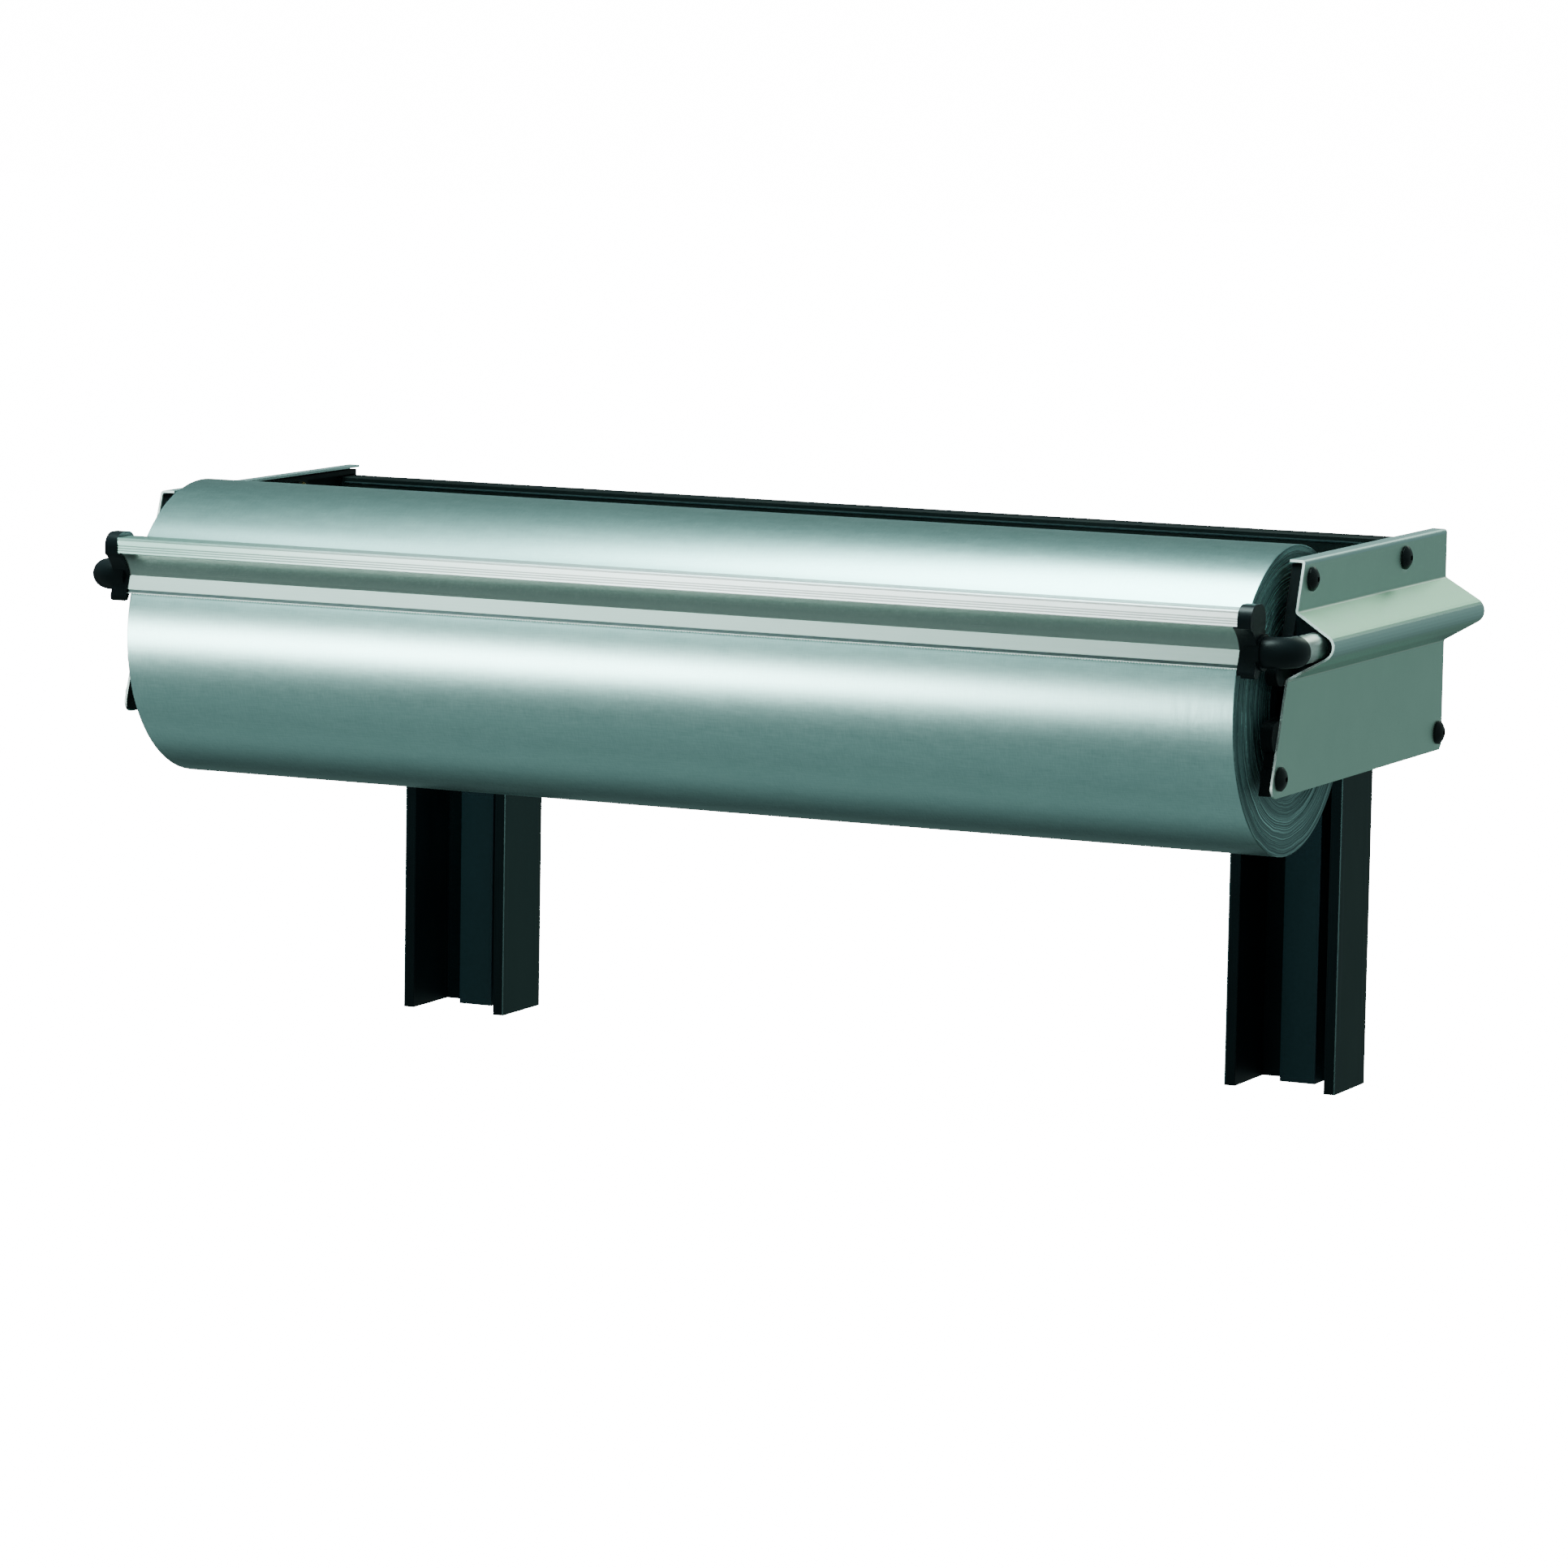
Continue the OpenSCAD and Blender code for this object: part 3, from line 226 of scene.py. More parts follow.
# Ends of the roll: layers wound a little out of round, shaded along and across them
layersLook = {
    "dark": (0.038, 0.095, 0.103), "light": (0.60, 0.93, 0.90), "metal": 0.3, "layer": 1.7 * mm,
    "wobble": 55 * mm, "wobbleDetail": 2.0, "wobbleDeep": 9 * mm,
    # for each of the two noises: how fast it runs across the layers and round the roll, and its detail
    "shadeRun": (1.9, 0.6, 3.0), "sheetRun": (11.0, 1.2, 2.0), "shares": (0.6, 0.4),
    "stops": [(0.36, 0.0), (0.50, 0.22), (0.58, 0.42), (0.64, 1.0)],
    "rough": 0.36, "roughSpread": 0.3, "reliefDeep": 0.2 * mm, "reliefStrength": 0.6,
}


def layersPaint():
    look = layersLook
    paint = Paint("wrapLayers", Metallic=look["metal"])
    across = paint.axis(paint.place, "Y") - rollMiddle[1]
    up = paint.aboveAxle()
    radius = (across * across + up * up) ** 0.5
    wobble = (paint.noise(look["wobble"], (1, 1, 1), look["wobbleDetail"]) - 0.5) * look["wobbleDeep"]
    count = (radius + wobble) / look["layer"]

    def alongLayers(run):
        outward, around, detail = run
        spot = {"X": count * outward, "Y": across / radius * around, "Z": up / radius * around}
        vector = paint.add("ShaderNodeCombineXYZ", {}, spot)
        return paint.add("ShaderNodeTexNoise", {}, {"Vector": vector, "Scale": 1.0, "Detail": detail})

    shade = alongLayers(look["shadeRun"])
    sheets = alongLayers(look["sheetRun"])
    mask = paint.ramp(blend([shade, sheets], look["shares"]), look["stops"])
    paint.feed("Base Color", paint.mixColour(mask, look["dark"], look["light"]))
    paint.feed("Roughness", look["rough"] + sheets * look["roughSpread"])
    paint.relief(sheets, look["reliefDeep"], look["reliefStrength"])
    return paint.material


# Folded cheeks: satin sheet with painted light: fold faces, ridge and flange top tinted by height above
# the roll's axis, painted highlights on the creases and front cut edges, and pale rings round the screws
sheetLook = {
    "dark": (0.44, 0.63, 0.54), "light": (0.54, 0.73, 0.63), "grainShares": (0.5, 0.5),
    "cloud": 30 * mm, "grain": 0.5 * mm, "grainShape": (1, 3, 1), "grainDetail": 2.0, "metal": 0.9,
    # painted light: the tints below go on the fold faces, ridge, flange top, creases and front cut edges
    "upperFacePaintedLight": (0.41, 0.70, 0.51), "faceSoft": 1.5 * mm,
    "faceBlotch": 24 * mm, "faceBlotchShape": (1, 2.2, 0.8), "faceBlotchRough": 0.6,
    "faceBlotchStops": [(0.52, 0.0), (0.72, 0.34)],
    "ridge": 50 * mm, "ridgeHalf": 6.5 * mm, "ridgeSoft": 2 * mm, "ridgeAndFlangePaintedLight": (0.52, 0.70, 0.70),
    "flangeFrom": 112.8 * mm, "roundedShares": (0.7, 0.8),
    "underFrom": 33 * mm, "underFacePaintedLight": (0.62, 0.90, 0.76), "underShare": 0.8,
    "upperCrease": 76.5 * mm, "lowerCrease": 23.5 * mm, "creaseHalf": 0.7 * mm,
    "creaseHighlightAndRings": (0.80, 0.90, 0.80),
    "screws": ((-357.5, 405.5), (-145.6, 405.5), (-415.9, 252.0), (-56.0, 252.0)),
    "ringFrom": 9.5 * mm, "ringTo": 14 * mm, "creaseShares": (0.75, 0.3),
    "bareCutEdgeHighlight": (0.88, 0.95, 0.90), "cutFacing": 0.7,
    "rough": 0.34, "roughSpread": 0.14, "cutRough": 0.12, "reliefDeep": 0.05 * mm, "reliefStrength": 0.5,
}


def sheetPaint():
    look = sheetLook
    paint = Paint("satinSheet", Metallic=look["metal"])
    cloud = paint.noise(look["cloud"])
    grain = paint.noise(look["grain"], look["grainShape"], look["grainDetail"])
    up = paint.aboveAxle()

    def between(low, high, soft):
        return paint.rise(up, low - soft, low + soft) * paint.rise(up, high + soft, high - soft)

    ridgeLow, ridgeHigh = look["ridge"] - look["ridgeHalf"], look["ridge"] + look["ridgeHalf"]
    faceBlotches = paint.ramp(paint.noise(look["faceBlotch"], look["faceBlotchShape"], rough=look["faceBlotchRough"]),
                         look["faceBlotchStops"])
    # painted light: the upper face of the fold is tinted paler green, left out in blotches
    face = between(ridgeHigh, look["upperCrease"], look["faceSoft"]) * (1.0 - faceBlotches)
    # painted light: the lower face of the fold is painted paler
    under = between(look["underFrom"], ridgeLow, look["ridgeSoft"]) * look["underShare"]
    # painted light on the rounded ridge of the fold and on the top of the flange
    ridgeAndFlangePaintedLight = blend([between(ridgeLow, ridgeHigh, look["ridgeSoft"]), up.above(look["flangeFrom"])],
                    look["roundedShares"])
    half = look["creaseHalf"]
    # painted highlights along the two creases; the rings round the screws below take the same pale colour
    creases = up.near(look["upperCrease"], half) + up.near(look["lowerCrease"], half)
    rings = 0.0
    for y, z in look["screws"]:
        across = paint.axis(paint.place, "Y") - y * mm
        upward = paint.axis(paint.place, "Z") - z * mm
        distance = (across * across + upward * upward) ** 0.5
        rings = paint.rise(distance, look["ringTo"], look["ringFrom"]) + rings
    # painted highlight: the front-facing cut edges are painted near white, bare cut metal brightened
    # further
    cut = paint.facesFront(look["cutFacing"])

    colour = paint.mixColour(blend([cloud, grain], look["grainShares"]), look["dark"], look["light"])
    for mask, tint in ((face, "upperFacePaintedLight"), (under, "underFacePaintedLight"), (ridgeAndFlangePaintedLight, "ridgeAndFlangePaintedLight"),
                       (blend([creases, rings], look["creaseShares"]), "creaseHighlightAndRings"), (cut, "bareCutEdgeHighlight")):
        colour = paint.mixColour(mask, colour, look[tint])
    paint.feed("Base Color", colour)
    paint.feed("Roughness", look["rough"] + grain * look["roughSpread"] + cut * look["cutRough"])
    paint.relief(grain, look["reliefDeep"], look["reliefStrength"])
    return paint.material


# Cutter bar: brushed along its length, with ribbed strip, web and lip told apart by height above the axis;
# painted shade on the web and grooves, a painted shadow under the strip and painted light along the strip
barLook = {
    "dark": (0.50, 0.62, 0.565), "light": (0.68, 0.78, 0.735), "metalShares": (0.6, 0.4),
    "streak": 0.45 * mm, "streakShape": (900, 1, 1), "cloud": 40 * mm, "cloudShape": (3, 1, 1),
    "cloudDetail": 2.0,
    "stripFrom": 71 * mm, "webFrom": 52 * mm, "webShade": 0.70,
    # painted light: the strip is painted darker at the left end and paler towards the right
    "stripLeft": (0.30, 0.46, 0.41), "stripRight": (0.96, 0.99, 0.99), "leftAt": -0.45, "rightAt": 0.0,
    "grooves": (73.8 * mm, 75.8 * mm, 77.7 * mm, 82.7 * mm), "grooveHalf": 0.55 * mm,
    "stripShadowBand": (71.2 * mm, 71.9 * mm), "grooveShade": 0.48,
    "stripRough": 0.47, "webRough": 0.30, "lipRough": 0.42, "streakRough": 0.12,
    "reliefDeep": 0.04 * mm, "reliefStrength": 0.5,
}


def barPaint():
    look = barLook
    paint = Paint("satinExtrusion", Metallic=1.0)
    streak = paint.noise(look["streak"], look["streakShape"])
    cloud = paint.noise(look["cloud"], look["cloudShape"], look["cloudDetail"])
    up = paint.aboveAxle()
    strip = up.above(look["stripFrom"])
    lip = 1.0 - up.above(look["webFrom"])
    # painted shade in the grooves and a painted shadow band under the strip
    low, high = look["stripShadowBand"]
    paintedShadeLines = up.above(low) * (1.0 - up.above(high))
    for height in look["grooves"]:
        paintedShadeLines = paintedShadeLines + up.near(height, look["grooveHalf"])
    # painted shade: the web between the strip and the lip is darkened
    shade = 1.0 - (1.0 - strip) * (1.0 - lip) * (1.0 - look["webShade"])
    shade = shade * (1.0 - paintedShadeLines * (1.0 - look["grooveShade"]))
    metal = paint.mixColour(blend([streak, cloud], look["metalShares"]), look["dark"], look["light"])
    # painted light along the strip, rising from the left end to the middle
    stripPaintedLight = paint.rise(paint.axis(paint.place, "X"), look["leftAt"], look["rightAt"])
    metal = paint.mixColour(strip, metal, paint.mixColour(stripPaintedLight, look["stripLeft"], look["stripRight"]))
    paint.feed("Base Color", paint.mixColour(shade, (0.0, 0.0, 0.0), metal))
    rough = look["webRough"] + strip * (look["stripRough"] - look["webRough"])
    rough = rough + lip * (look["lipRough"] - look["webRough"])
    paint.feed("Roughness", rough + (streak - 0.5) * look["streakRough"])
    paint.relief(streak, look["reliefDeep"], look["reliefStrength"])
    return paint.material


# Blade: painted shadow of the lip over the blade above the teeth, and ground teeth painted bright: bare
# ground steel with a painted highlight
bladeLook = {
    "dark": (0.04, 0.055, 0.055), "light": (0.10, 0.13, 0.125), "teeth": (0.86, 0.92, 0.89),
    "ground": 1.6 * mm, "grain": 0.4 * mm, "grainShape": (60, 1, 1),
    "rough": 0.26, "roughSpread": 0.12, "groundRough": 0.2,
    "reliefDeep": 0.03 * mm, "reliefStrength": 0.4,
}


def bladePaint():
    look = bladeLook
    paint = Paint("bladeSteel", Metallic=1.0)
    grain = paint.noise(look["grain"], look["grainShape"])
    fromTips = paint.axis(paint.place, "Z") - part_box("blade")[0][2]
    ground = 1.0 - fromTips.above(look["ground"])
    # painted shadow: the blade above the teeth is kept near black, the shade under the lip
    metal = paint.mixColour(grain, look["dark"], look["light"])
    # the ground teeth: bare ground steel with a painted highlight
    paint.feed("Base Color", paint.mixColour(ground, metal, look["teeth"]))
    paint.feed("Roughness", look["rough"] + grain * look["roughSpread"] + ground * look["groundRough"])
    paint.relief(grain, look["reliefDeep"], look["reliefStrength"])
    return paint.material


# Plain steel of the arms, axle, springs and plated screws
steelLook = {"cloud": 12 * mm, "cloudDetail": 2.0, "shares": (0.5, 0.5),
             "smoother": 0.06, "roughSpread": 0.14, "reliefDeep": 0.03 * mm, "reliefStrength": 0.4}


def steelPaint(name, dark, light, rough, grainSize, grainShape=(1, 1, 1)):
    look = steelLook
    paint = Paint(name, Metallic=1.0)
    grain = paint.noise(grainSize, grainShape)
    cloud = paint.noise(look["cloud"], (1, 1, 1), look["cloudDetail"])
    paint.feed("Base Color", paint.mixColour(blend([grain, cloud], look["shares"]), dark, light))
    paint.feed("Roughness", rough - look["smoother"] + grain * look["roughSpread"])
    paint.relief(grain, look["reliefDeep"], look["reliefStrength"])
    return paint.material


# Black coats: patchy powder coat or black oxide with a fine skin
coatLook = {"cloud": 22 * mm, "cloudShape": (1, 1, 2), "cloudDetail": 4.0,
            "patches": [(0.35, 0.0), (0.7, 1.0)],
            "skin": 0.8 * mm, "skinDetail": 2.0, "smoother": 0.07, "roughSpread": 0.08,
            "reliefShares": (0.6, 0.4), "reliefDeep": 0.08 * mm, "reliefStrength": 0.4}


def coatColour(paint, cloud, dark, light):
    return paint.mixColour(paint.ramp(cloud, coatLook["patches"]), dark, light)


def coatSkin(paint, cloud, rough, reliefDeep=coatLook["reliefDeep"]):
    look = coatLook
    skin = paint.noise(look["skin"], (1, 1, 1), look["skinDetail"])
    paint.feed("Roughness", rough - look["smoother"] + (cloud + skin) * look["roughSpread"])
    paint.relief(blend([skin, cloud], look["reliefShares"]), reliefDeep, look["reliefStrength"])


def coatPaint(name, dark, light, rough, gloss, reliefDeep=coatLook["reliefDeep"]):
    paint = Paint(name, Metallic=0.0, Specular_IOR_Level=gloss)
    cloud = paint.noise(coatLook["cloud"], coatLook["cloudShape"], coatLook["cloudDetail"])
    paint.feed("Base Color", coatColour(paint, cloud, dark, light))
    coatSkin(paint, cloud, rough, reliefDeep)
    return paint.material


# Posts: painted light on the front of the raised chamber and on the outer sides, and painted highlights on
# the front outer edges
postLook = {
    "dark": (0.0022, 0.0060, 0.0076), "light": (0.0044, 0.0100, 0.0120),
    "cloud": 26 * mm, "cloudShape": (1, 1, 2.5),
    "chamber": (0.017, 0.036, 0.044), "chamberHalf": 16.5 * mm, "frontOnly": -2 * mm,
    "chamberShares": (0.75, 0.4),
    "side": (0.014, 0.033, 0.033), "corner": (0.11, 0.17, 0.17), "cornerFrom": 49 * mm, "turned": 0.5,
    "rough": 0.45, "gloss": 0.14,
}


def postPaint():
    look = postLook
    paint = Paint("postCoat", Metallic=0.0, Specular_IOR_Level=look["gloss"])
    cloud = paint.noise(look["cloud"], look["cloudShape"], coatLook["cloudDetail"])
    off = abs(abs(paint.axis(paint.place, "X")) - middle("right_post")[0])
    outer = off.above(look["cornerFrom"])
    front = 1.0 - paint.axis(paint.place, "Y").above(look["frontOnly"])
    base, spread = look["chamberShares"]
    # painted light: the front of the raised chamber is paler
    chamber = (1.0 - off.above(look["chamberHalf"])) * front * (base + cloud * spread)
    # painted light: the outer side faces are paler than the front
    side = abs(paint.axis(paint.facing, "X")).above(look["turned"]) * outer
    # painted highlight on the front-facing outer edges
    corner = paint.facesFront(look["turned"]) * outer
    colour = coatColour(paint, cloud, look["dark"], look["light"])
    for mask, tint in ((chamber, "chamber"), (side, "side"), (corner, "corner")):
        colour = paint.mixColour(mask, colour, look[tint])
    paint.feed("Base Color", colour)
    coatSkin(paint, cloud, look["rough"])
    return paint.material


# Beam: black rail with a painted highlight line along its front, just below the top edge
beamLook = {
    "dark": (0.004, 0.0075, 0.0075), "light": (0.009, 0.014, 0.0135), "cloudShape": (4, 1, 1),
    "lineHighlight": (0.045, 0.070, 0.075), "lineDown": 5 * mm, "lineHalf": 0.9 * mm, "turned": 0.5,
    "rough": 0.5, "gloss": 0.07,
}


def beamPaint():
    look = beamLook
    paint = Paint("beamCoat", Metallic=0.0, Specular_IOR_Level=look["gloss"])
    cloud = paint.noise(coatLook["cloud"], look["cloudShape"], coatLook["cloudDetail"])
    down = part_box("rear_beam")[1][2] - paint.axis(paint.place, "Z")
    # painted highlight: a paler line on the front face, 5 mm below the top
    lineHighlight = down.near(look["lineDown"], look["lineHalf"]) * paint.facesFront(look["turned"])
    colour = coatColour(paint, cloud, look["dark"], look["light"])
    paint.feed("Base Color", paint.mixColour(lineHighlight, colour, look["lineHighlight"]))
    coatSkin(paint, cloud, look["rough"])
    return paint.material


# Moulded plastic: side plates, caps, sleeves, bushes, plugs and saddles
mouldedLook = {"grain": 0.5 * mm, "grainDetail": 2.0, "grainRough": 0.6,
               "cloud": 14 * mm, "cloudDetail": 2.0,
               "smoother": 0.05, "roughSpread": 0.14, "reliefDeep": 0.05 * mm, "reliefStrength": 0.45}


def mouldedPaint(name, dark, light, rough, gloss=0.5, grainSize=mouldedLook["grain"]):
    look = mouldedLook
    paint = Paint(name, Metallic=0.0, Specular_IOR_Level=gloss)
    grain = paint.noise(grainSize, (1, 1, 1), look["grainDetail"], look["grainRough"])
    cloud = paint.noise(look["cloud"], (1, 1, 1), look["cloudDetail"])
    paint.feed("Base Color", paint.mixColour(cloud, dark, light))
    paint.feed("Roughness", rough - look["smoother"] + grain * look["roughSpread"])
    paint.relief(grain, look["reliefDeep"], look["reliefStrength"])
    return paint.material


# Core: grey-brown card
cardLook = {"dark": (0.30, 0.21, 0.13), "light": (0.48, 0.36, 0.24), "rough": 0.85, "fibre": 0.7 * mm,
            "fibreShape": (6, 1, 1), "fibreDetail": 4.0, "reliefDeep": 0.1 * mm, "reliefStrength": 0.6}


def cardPaint():
    look = cardLook
    paint = Paint("coreCard", Metallic=0.0, Roughness=look["rough"])
    fibre = paint.noise(look["fibre"], look["fibreShape"], look["fibreDetail"])
    paint.feed("Base Color", paint.mixColour(fibre, look["dark"], look["light"]))
    paint.relief(fibre, look["reliefDeep"], look["reliefStrength"])
    return paint.material


# steel: dark, light, rough, grain and its shape; coats and mouldings: dark, light, rough, gloss
finishes = {
    "wrap_paper": wrapPaint(),
    "core_card": cardPaint(),
    "cheek_sheet": sheetPaint(),
    "bar_aluminium": barPaint(),
    "blade_steel": bladePaint(),
    "arm_steel": steelPaint("satinTube", (0.56, 0.61, 0.58), (0.72, 0.77, 0.74), 0.3,
                            0.5 * mm, (1, 40, 1)),
    "axle_steel": steelPaint("drawnAxle", (0.45, 0.47, 0.48), (0.6, 0.62, 0.63), 0.3,
                             0.4 * mm, (60, 1, 1)),
    "spring_wire": steelPaint("springWire", (0.45, 0.46, 0.46), (0.66, 0.67, 0.67), 0.28, 0.6 * mm),
    "zinc_steel": steelPaint("zincPlate", (0.42, 0.44, 0.45), (0.62, 0.64, 0.65), 0.36, 0.8 * mm),
    "yellow_nut": steelPaint("yellowPlate", (0.42, 0.30, 0.10), (0.66, 0.50, 0.20), 0.34, 0.9 * mm),
    "black_screw": coatPaint("blackOxide", (0.003, 0.005, 0.006), (0.006, 0.009, 0.010),
                             0.27, 0.32, 0.02 * mm),
    "post_black": postPaint(),
    "bracket_black": coatPaint("bracketCoat", (0.006, 0.009, 0.010), (0.014, 0.018, 0.019),
                               0.48, 0.25),
    "beam_black": beamPaint(),
    "plate_plastic": mouldedPaint("plateMoulding", (0.003, 0.006, 0.007), (0.007, 0.011, 0.012),
                                  0.5, 0.12, 0.8 * mm),
    "black_plastic": mouldedPaint("blackMoulding", (0.0025, 0.006, 0.0075), (0.005, 0.011, 0.0135),
                                  0.37, 0.26),
    "nylon": mouldedPaint("nylon", (0.55, 0.54, 0.48), (0.68, 0.67, 0.61), 0.5),
}
for entry in frame["record"]["subparts"]:
    node = frame["nodes"][entry["node"]]
    node.data.materials.clear()
    node.data.materials.append(finishes[entry["material_slot"]])
    for face in node.data.polygons:
        face.material_index = 0
print("finishes on the nodes")

# Layered ends of the roll: one spiral of paper whose edge stands a little in and out
endLayers = {"firstRadius": 46.3 * mm, "edge": 0.3 * mm, "gap": 0.15 * mm, "steps": 120, "bends": 6,
             "lowest": 0.1 * mm, "highest": 0.7 * mm, "seed": 31}


def layeredEnd(side, material):
    facts = endLayers
    first, layer, steps, bends = facts["firstRadius"], layersLook["layer"], facts["steps"], facts["bends"]
    draw = random.Random(facts["seed"] + side)
    turns = int((rollRadius - first) / layer) + 2
    levels = [draw.uniform(facts["lowest"], facts["highest"]) for _ in range(turns * bends + 2)]
    points = []
    for i in range(turns * steps + 1):
        t = i / steps
        k = int(t * bends)
        level = levels[k] + (levels[k + 1] - levels[k]) * (t * bends - k)
        for radius in (first + (t - 1) * layer, first + t * layer - facts["gap"]):
            r = min(max(radius, first), rollRadius - facts["edge"])
            angle = math.tau * t
            points.append((side * (abs(rollHigh[0]) + level),
                           rollMiddle[1] + r * math.cos(angle), rollMiddle[2] + r * math.sin(angle)))
    faces = []
    for i in range(turns * steps):
        a = 2 * i
        faces.append((a, a + 1, a + 3, a + 2))
        if i >= steps:
            # the step from the turn before, between its outer edge and this one's inner edge
            b = 2 * (i - steps)
            faces.append((b + 1, a, a + 2, b + 3))
    piece = addPiece("rollLayersRight" if side > 0 else "rollLayersLeft", points, faces, material)
    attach(piece, "roll")


layersMaterial = layersPaint()
for side in (-1, 1):
    layeredEnd(side, layersMaterial)
print("roll ends layered")

# Collar at the root of each end cap's hub, round the inner end of the arm
capCollar = {"thick": 2.9 * mm, "length": 2.4 * mm, "gap": 0.1 * mm, "steps": 64}


def collar(side):
    facts = capCollar
    low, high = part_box("right_arm")
    tubeRadius = (high[2] - low[2]) / 2
    back = low[1] + tubeRadius
    up = low[2] + tubeRadius
    inner, outer = tubeRadius + facts["gap"], tubeRadius + facts["thick"]
    far = low[0] + facts["length"]
    section = ((low[0], inner), (far, inner), (far, outer), (low[0], outer))
    corners = len(section)
    points = []
    faces = []
    for i in range(facts["steps"]):
        angle = math.tau * i / facts["steps"]
        here, after = corners * i, corners * ((i + 1) % facts["steps"])
        for k, (out, radius) in enumerate(section):
            points.append((side * out, back + radius * math.cos(angle), up + radius * math.sin(angle)))
            before = (k - 1) % corners
            face = (here + k, after + k, after + before, here + before)
            faces.append(face if side > 0 else face[::-1])
    name = "capCollarRight" if side > 0 else "capCollarLeft"
    piece = addPiece(name, points, faces, finishes["black_plastic"])
    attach(piece, "cutter")
    return piece


collars = [collar(side) for side in (-1, 1)]
print("cap collars made")

# Pale floor, seen only by the camera
floorLook = {"reach": 14.0, "plain": (0.93, 0.93, 0.93), "patches": (0.95, 0.95, 0.95),
             "patch": 0.6, "patchDetail": 2.0, "rough": 0.9, "glow": 16.0}


def paleFloor():
    look = floorLook
    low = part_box("left_post")[0][2]
    reach = look["reach"]
    paint = Paint("paleFloor", Roughness=look["rough"], Emission_Strength=look["glow"],
                  Emission_Color=(1, 1, 1, 1))
    cloud = paint.noise(look["patch"], (1, 1, 1), look["patchDetail"])
    paint.feed("Base Color", paint.mixColour(cloud, look["plain"], look["patches"]))
    points = [(-reach, -reach, low), (reach, -reach, low), (reach, reach, low), (-reach, reach, low)]
    floor = addPiece("paleFloor", points, [(0, 1, 2, 3)], paint.material)
    floor.visible_glossy = False
    floor.visible_diffuse = False
    floor.visible_shadow = False


# White room: the light it gives, by degrees round the X axis: 0 in front, 90 above, 180 behind
roomLook = {
    "seen": 16.0, "tint": (0.70, 1.0, 0.96), "turn": (-0.05, 0.35),
    "left": [(-180, 0.11), (-165, 0.12), (-150, 0.12), (-132, 0.05), (-112, 0.14), (-92, 0.33),
             (-72, 0.26), (-52, 0.31), (-36, 0.24), (0, 0.24), (70, 0.26), (104, 0.28), (120, 0.22),
             (136, 0.18), (152, 0.18), (164, 0.16), (180, 0.11)],
    "right": [(-180, 0.38), (-150, 0.26), (-90, 0.22), (0, 0.26), (90, 0.30), (150, 0.34), (180, 0.38)],
}


def surroundings():
    look = roomLook
    world = bpy.data.worlds.new("whiteRoom")
    bpy.context.scene.world = world
    world.use_nodes = True
    world.node_tree.nodes.clear()
    room = Nodes(world.node_tree)
    aim = room.add("ShaderNodeTexCoord", {}, {}, "Generated")
    front = 0.0 - room.axis(aim, "Y")
    angle = room.add("ShaderNodeMath", {"operation": "ARCTAN2"}, {0: room.axis(aim, "Z"), 1: front})
    # a whole turn, from -180 to 180 degrees, fills the ramp from 0 to 1
    along = angle / math.tau + 0.5
    left, right = (room.ramp(along, [(degrees / 360 + 0.5, shade) for degrees, shade in look[side]])
                   for side in ("left", "right"))
    rightness = room.rise(room.axis(aim, "X"), *look["turn"])
    light = room.add("ShaderNodeBackground", {}, {"Color": (*look["tint"], 1.0),
                                                  "Strength": room.mixColour(rightness, left, right)})
    seen = room.add("ShaderNodeBackground", {}, {"Color": (1, 1, 1, 1), "Strength": look["seen"]})
    direct = room.add("ShaderNodeLightPath", {}, {}, "Is Camera Ray")
    mix = room.add("ShaderNodeMixShader", {}, {0: direct, 1: light, 2: seen})
    out = world.node_tree.nodes.new("ShaderNodeOutputWorld")
    world.node_tree.links.new(mix.socket, out.inputs["Surface"])


# name: place, aim, width, height, power, colour
softBoxes = {
    "overheadBox": ((-0.17, -0.67, 2.35), (0.05, -0.35, 0.35), 1.4, 1.05, 88.0, (0.74, 1.0, 0.97)),
    "leftBox": ((-1.35, -0.82, 2.3), (-0.5, -0.45, 0.4), 0.5, 0.32, 3.8, (0.74, 1.0, 0.97)),
    "frontBox": ((-1.7, -3.3, 0.12), (0.0, -0.45, 0.28), 1.4, 0.65, 75.0, (0.86, 1.0, 0.955)),
    "highFrontBox": ((-1.8, -2.7, 2.2), (0.0, -0.45, 0.35), 1.1, 0.9, 27.0, (0.78, 1.0, 0.98)),
    "rearBox": ((0.55, 2.6, 1.8), (0.54, -0.2, 0.36), 1.2, 1.0, 11.0, (0.82, 1.0, 0.86)),
}
# the front boxes miss these finishes, whose fronts are near black in the photograph
shadedFinishes = {"boxes": ("frontBox", "highFrontBox"),
                  "slots": ("post_black", "plate_plastic", "black_plastic", "beam_black", "bracket_black")}


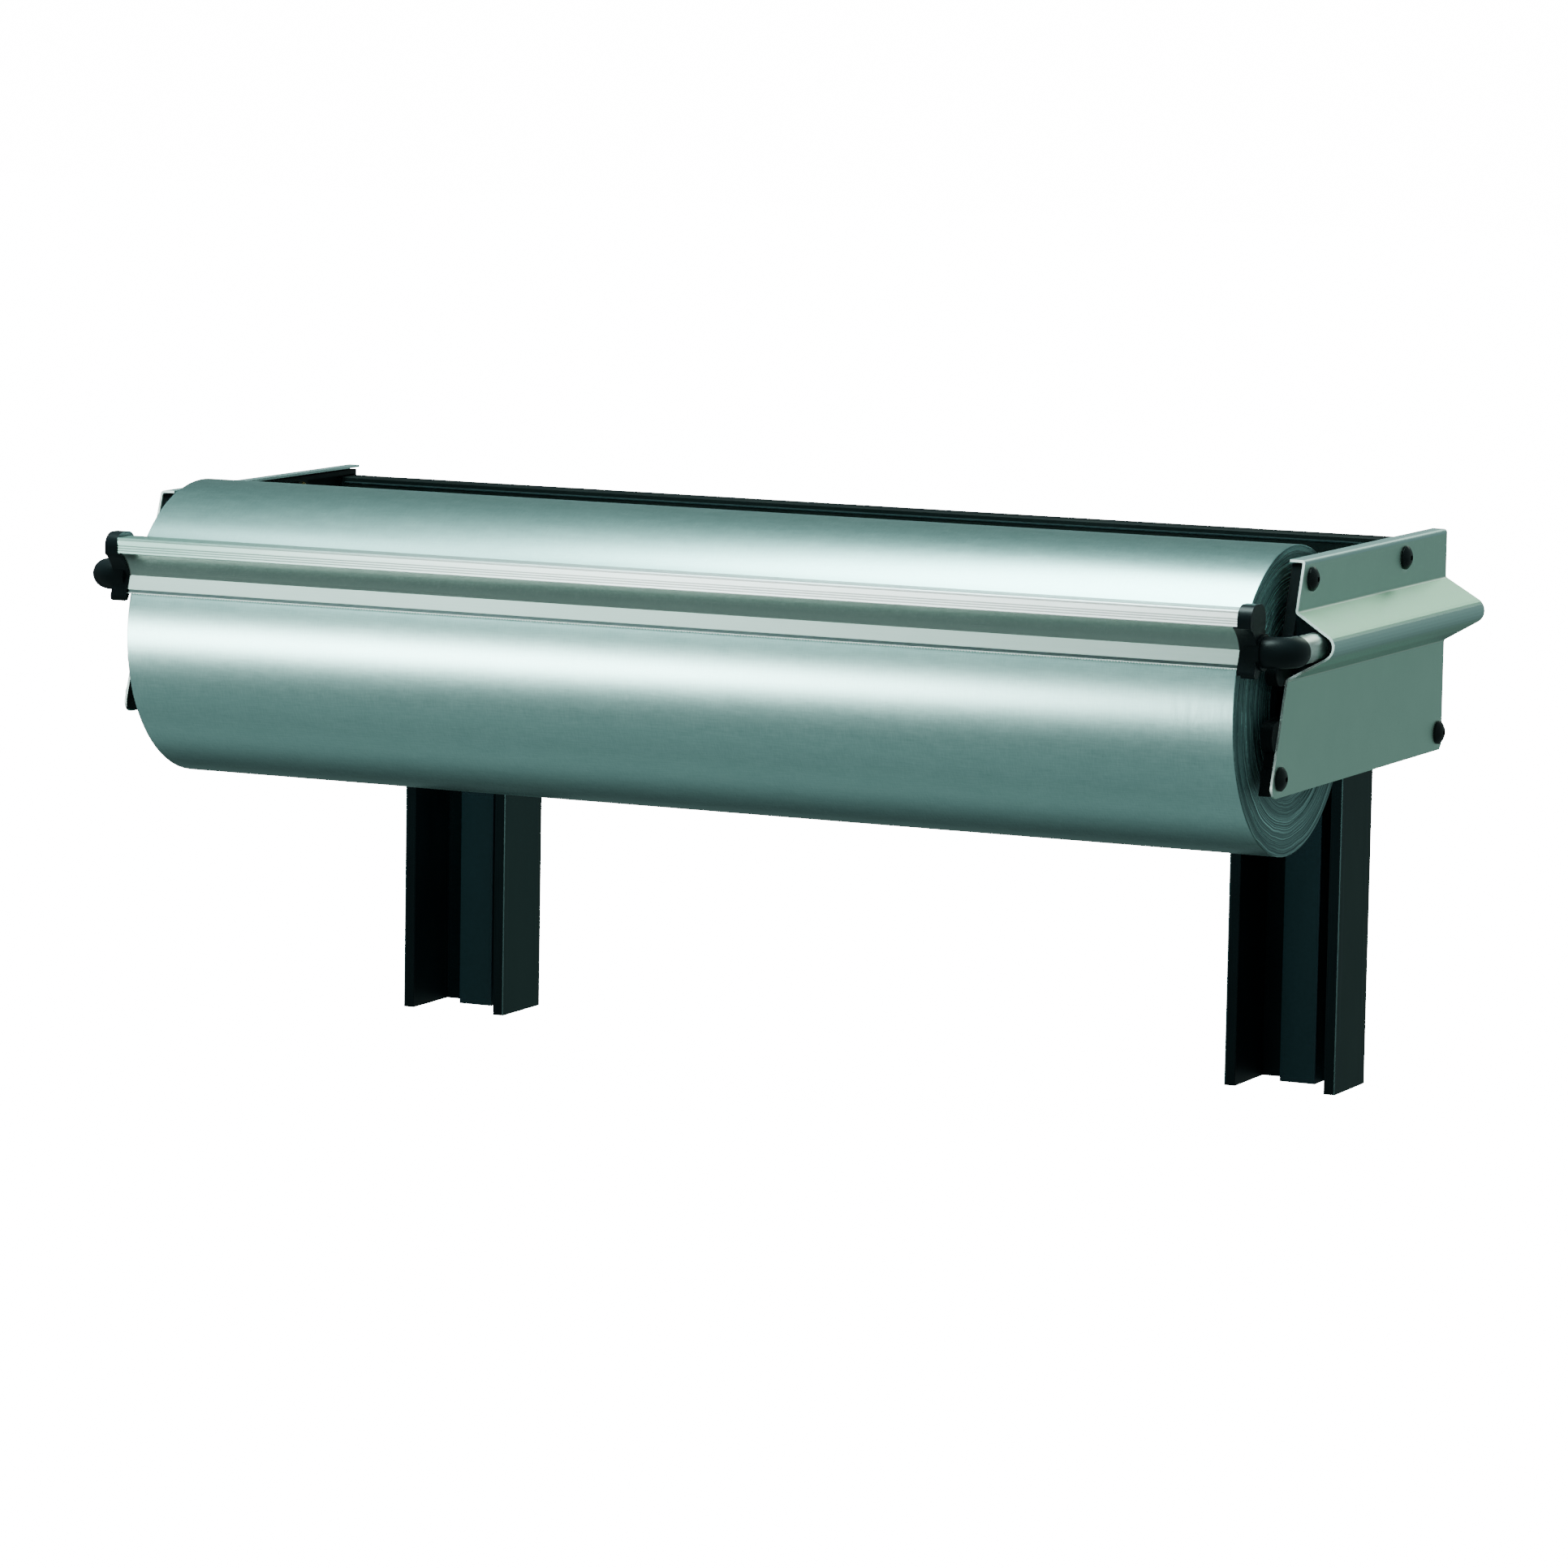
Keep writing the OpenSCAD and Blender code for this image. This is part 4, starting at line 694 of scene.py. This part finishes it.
def softBox(name, place, aim, width, height, power, colour):
    lamp = bpy.data.lights.new(name, "AREA")
    lamp.shape = "RECTANGLE"
    lamp.size = width
    lamp.size_y = height
    lamp.energy = power
    lamp.color = colour
    holder = bpy.data.objects.new(name, lamp)
    bpy.context.collection.objects.link(holder)
    holder.location = place
    holder.rotation_euler = (Vector(aim) - Vector(place)).to_track_quat("-Z", "Y").to_euler()
    if name in shadedFinishes["boxes"]:
        holder.light_linking.receiver_collection = shadedPieces


shadedPieces = bpy.data.collections.new("shadedPieces")
for entry in frame["record"]["subparts"]:
    if entry["material_slot"] in shadedFinishes["slots"]:
        shadedPieces.objects.link(frame["nodes"][entry["node"]])
for piece in collars:
    shadedPieces.objects.link(piece)
for link in shadedPieces.collection_objects:
    link.light_linking.link_state = "EXCLUDE"

paleFloor()
surroundings()
for name, facts in softBoxes.items():
    softBox(name, *facts)
print("studio lit")

# Camera: turned to the right of the front, a little above, with the slight roll of the photograph
cameraFacts = {"azimuth": 25.263, "elevation": 7.414, "roll": 1.007, "lens": 160.6, "sensor": 36.0,
               "farthest": 60.0, "place": (2.50025, -5.52169, 0.95200)}


def photoCamera():
    facts = cameraFacts
    azimuth, elevation, roll = (math.radians(facts[k]) for k in ("azimuth", "elevation", "roll"))
    back = Vector((math.sin(azimuth) * math.cos(elevation), -math.cos(azimuth) * math.cos(elevation),
                   math.sin(elevation)))
    right = Vector((math.cos(azimuth), math.sin(azimuth), 0))
    up = back.cross(right)
    across = right * math.cos(roll) + up * math.sin(roll)
    rise = up * math.cos(roll) - right * math.sin(roll)
    camera = bpy.data.objects.new("photoCamera", bpy.data.cameras.new("photoCamera"))
    camera.data.lens = facts["lens"]
    camera.data.sensor_width = facts["sensor"]
    camera.data.clip_end = facts["farthest"]
    turned = Matrix((across, rise, back)).transposed().to_4x4()
    camera.matrix_world = Matrix.Translation(facts["place"]) @ turned
    bpy.context.collection.objects.link(camera)
    bpy.context.scene.camera = camera


photoCamera()
print("camera set")
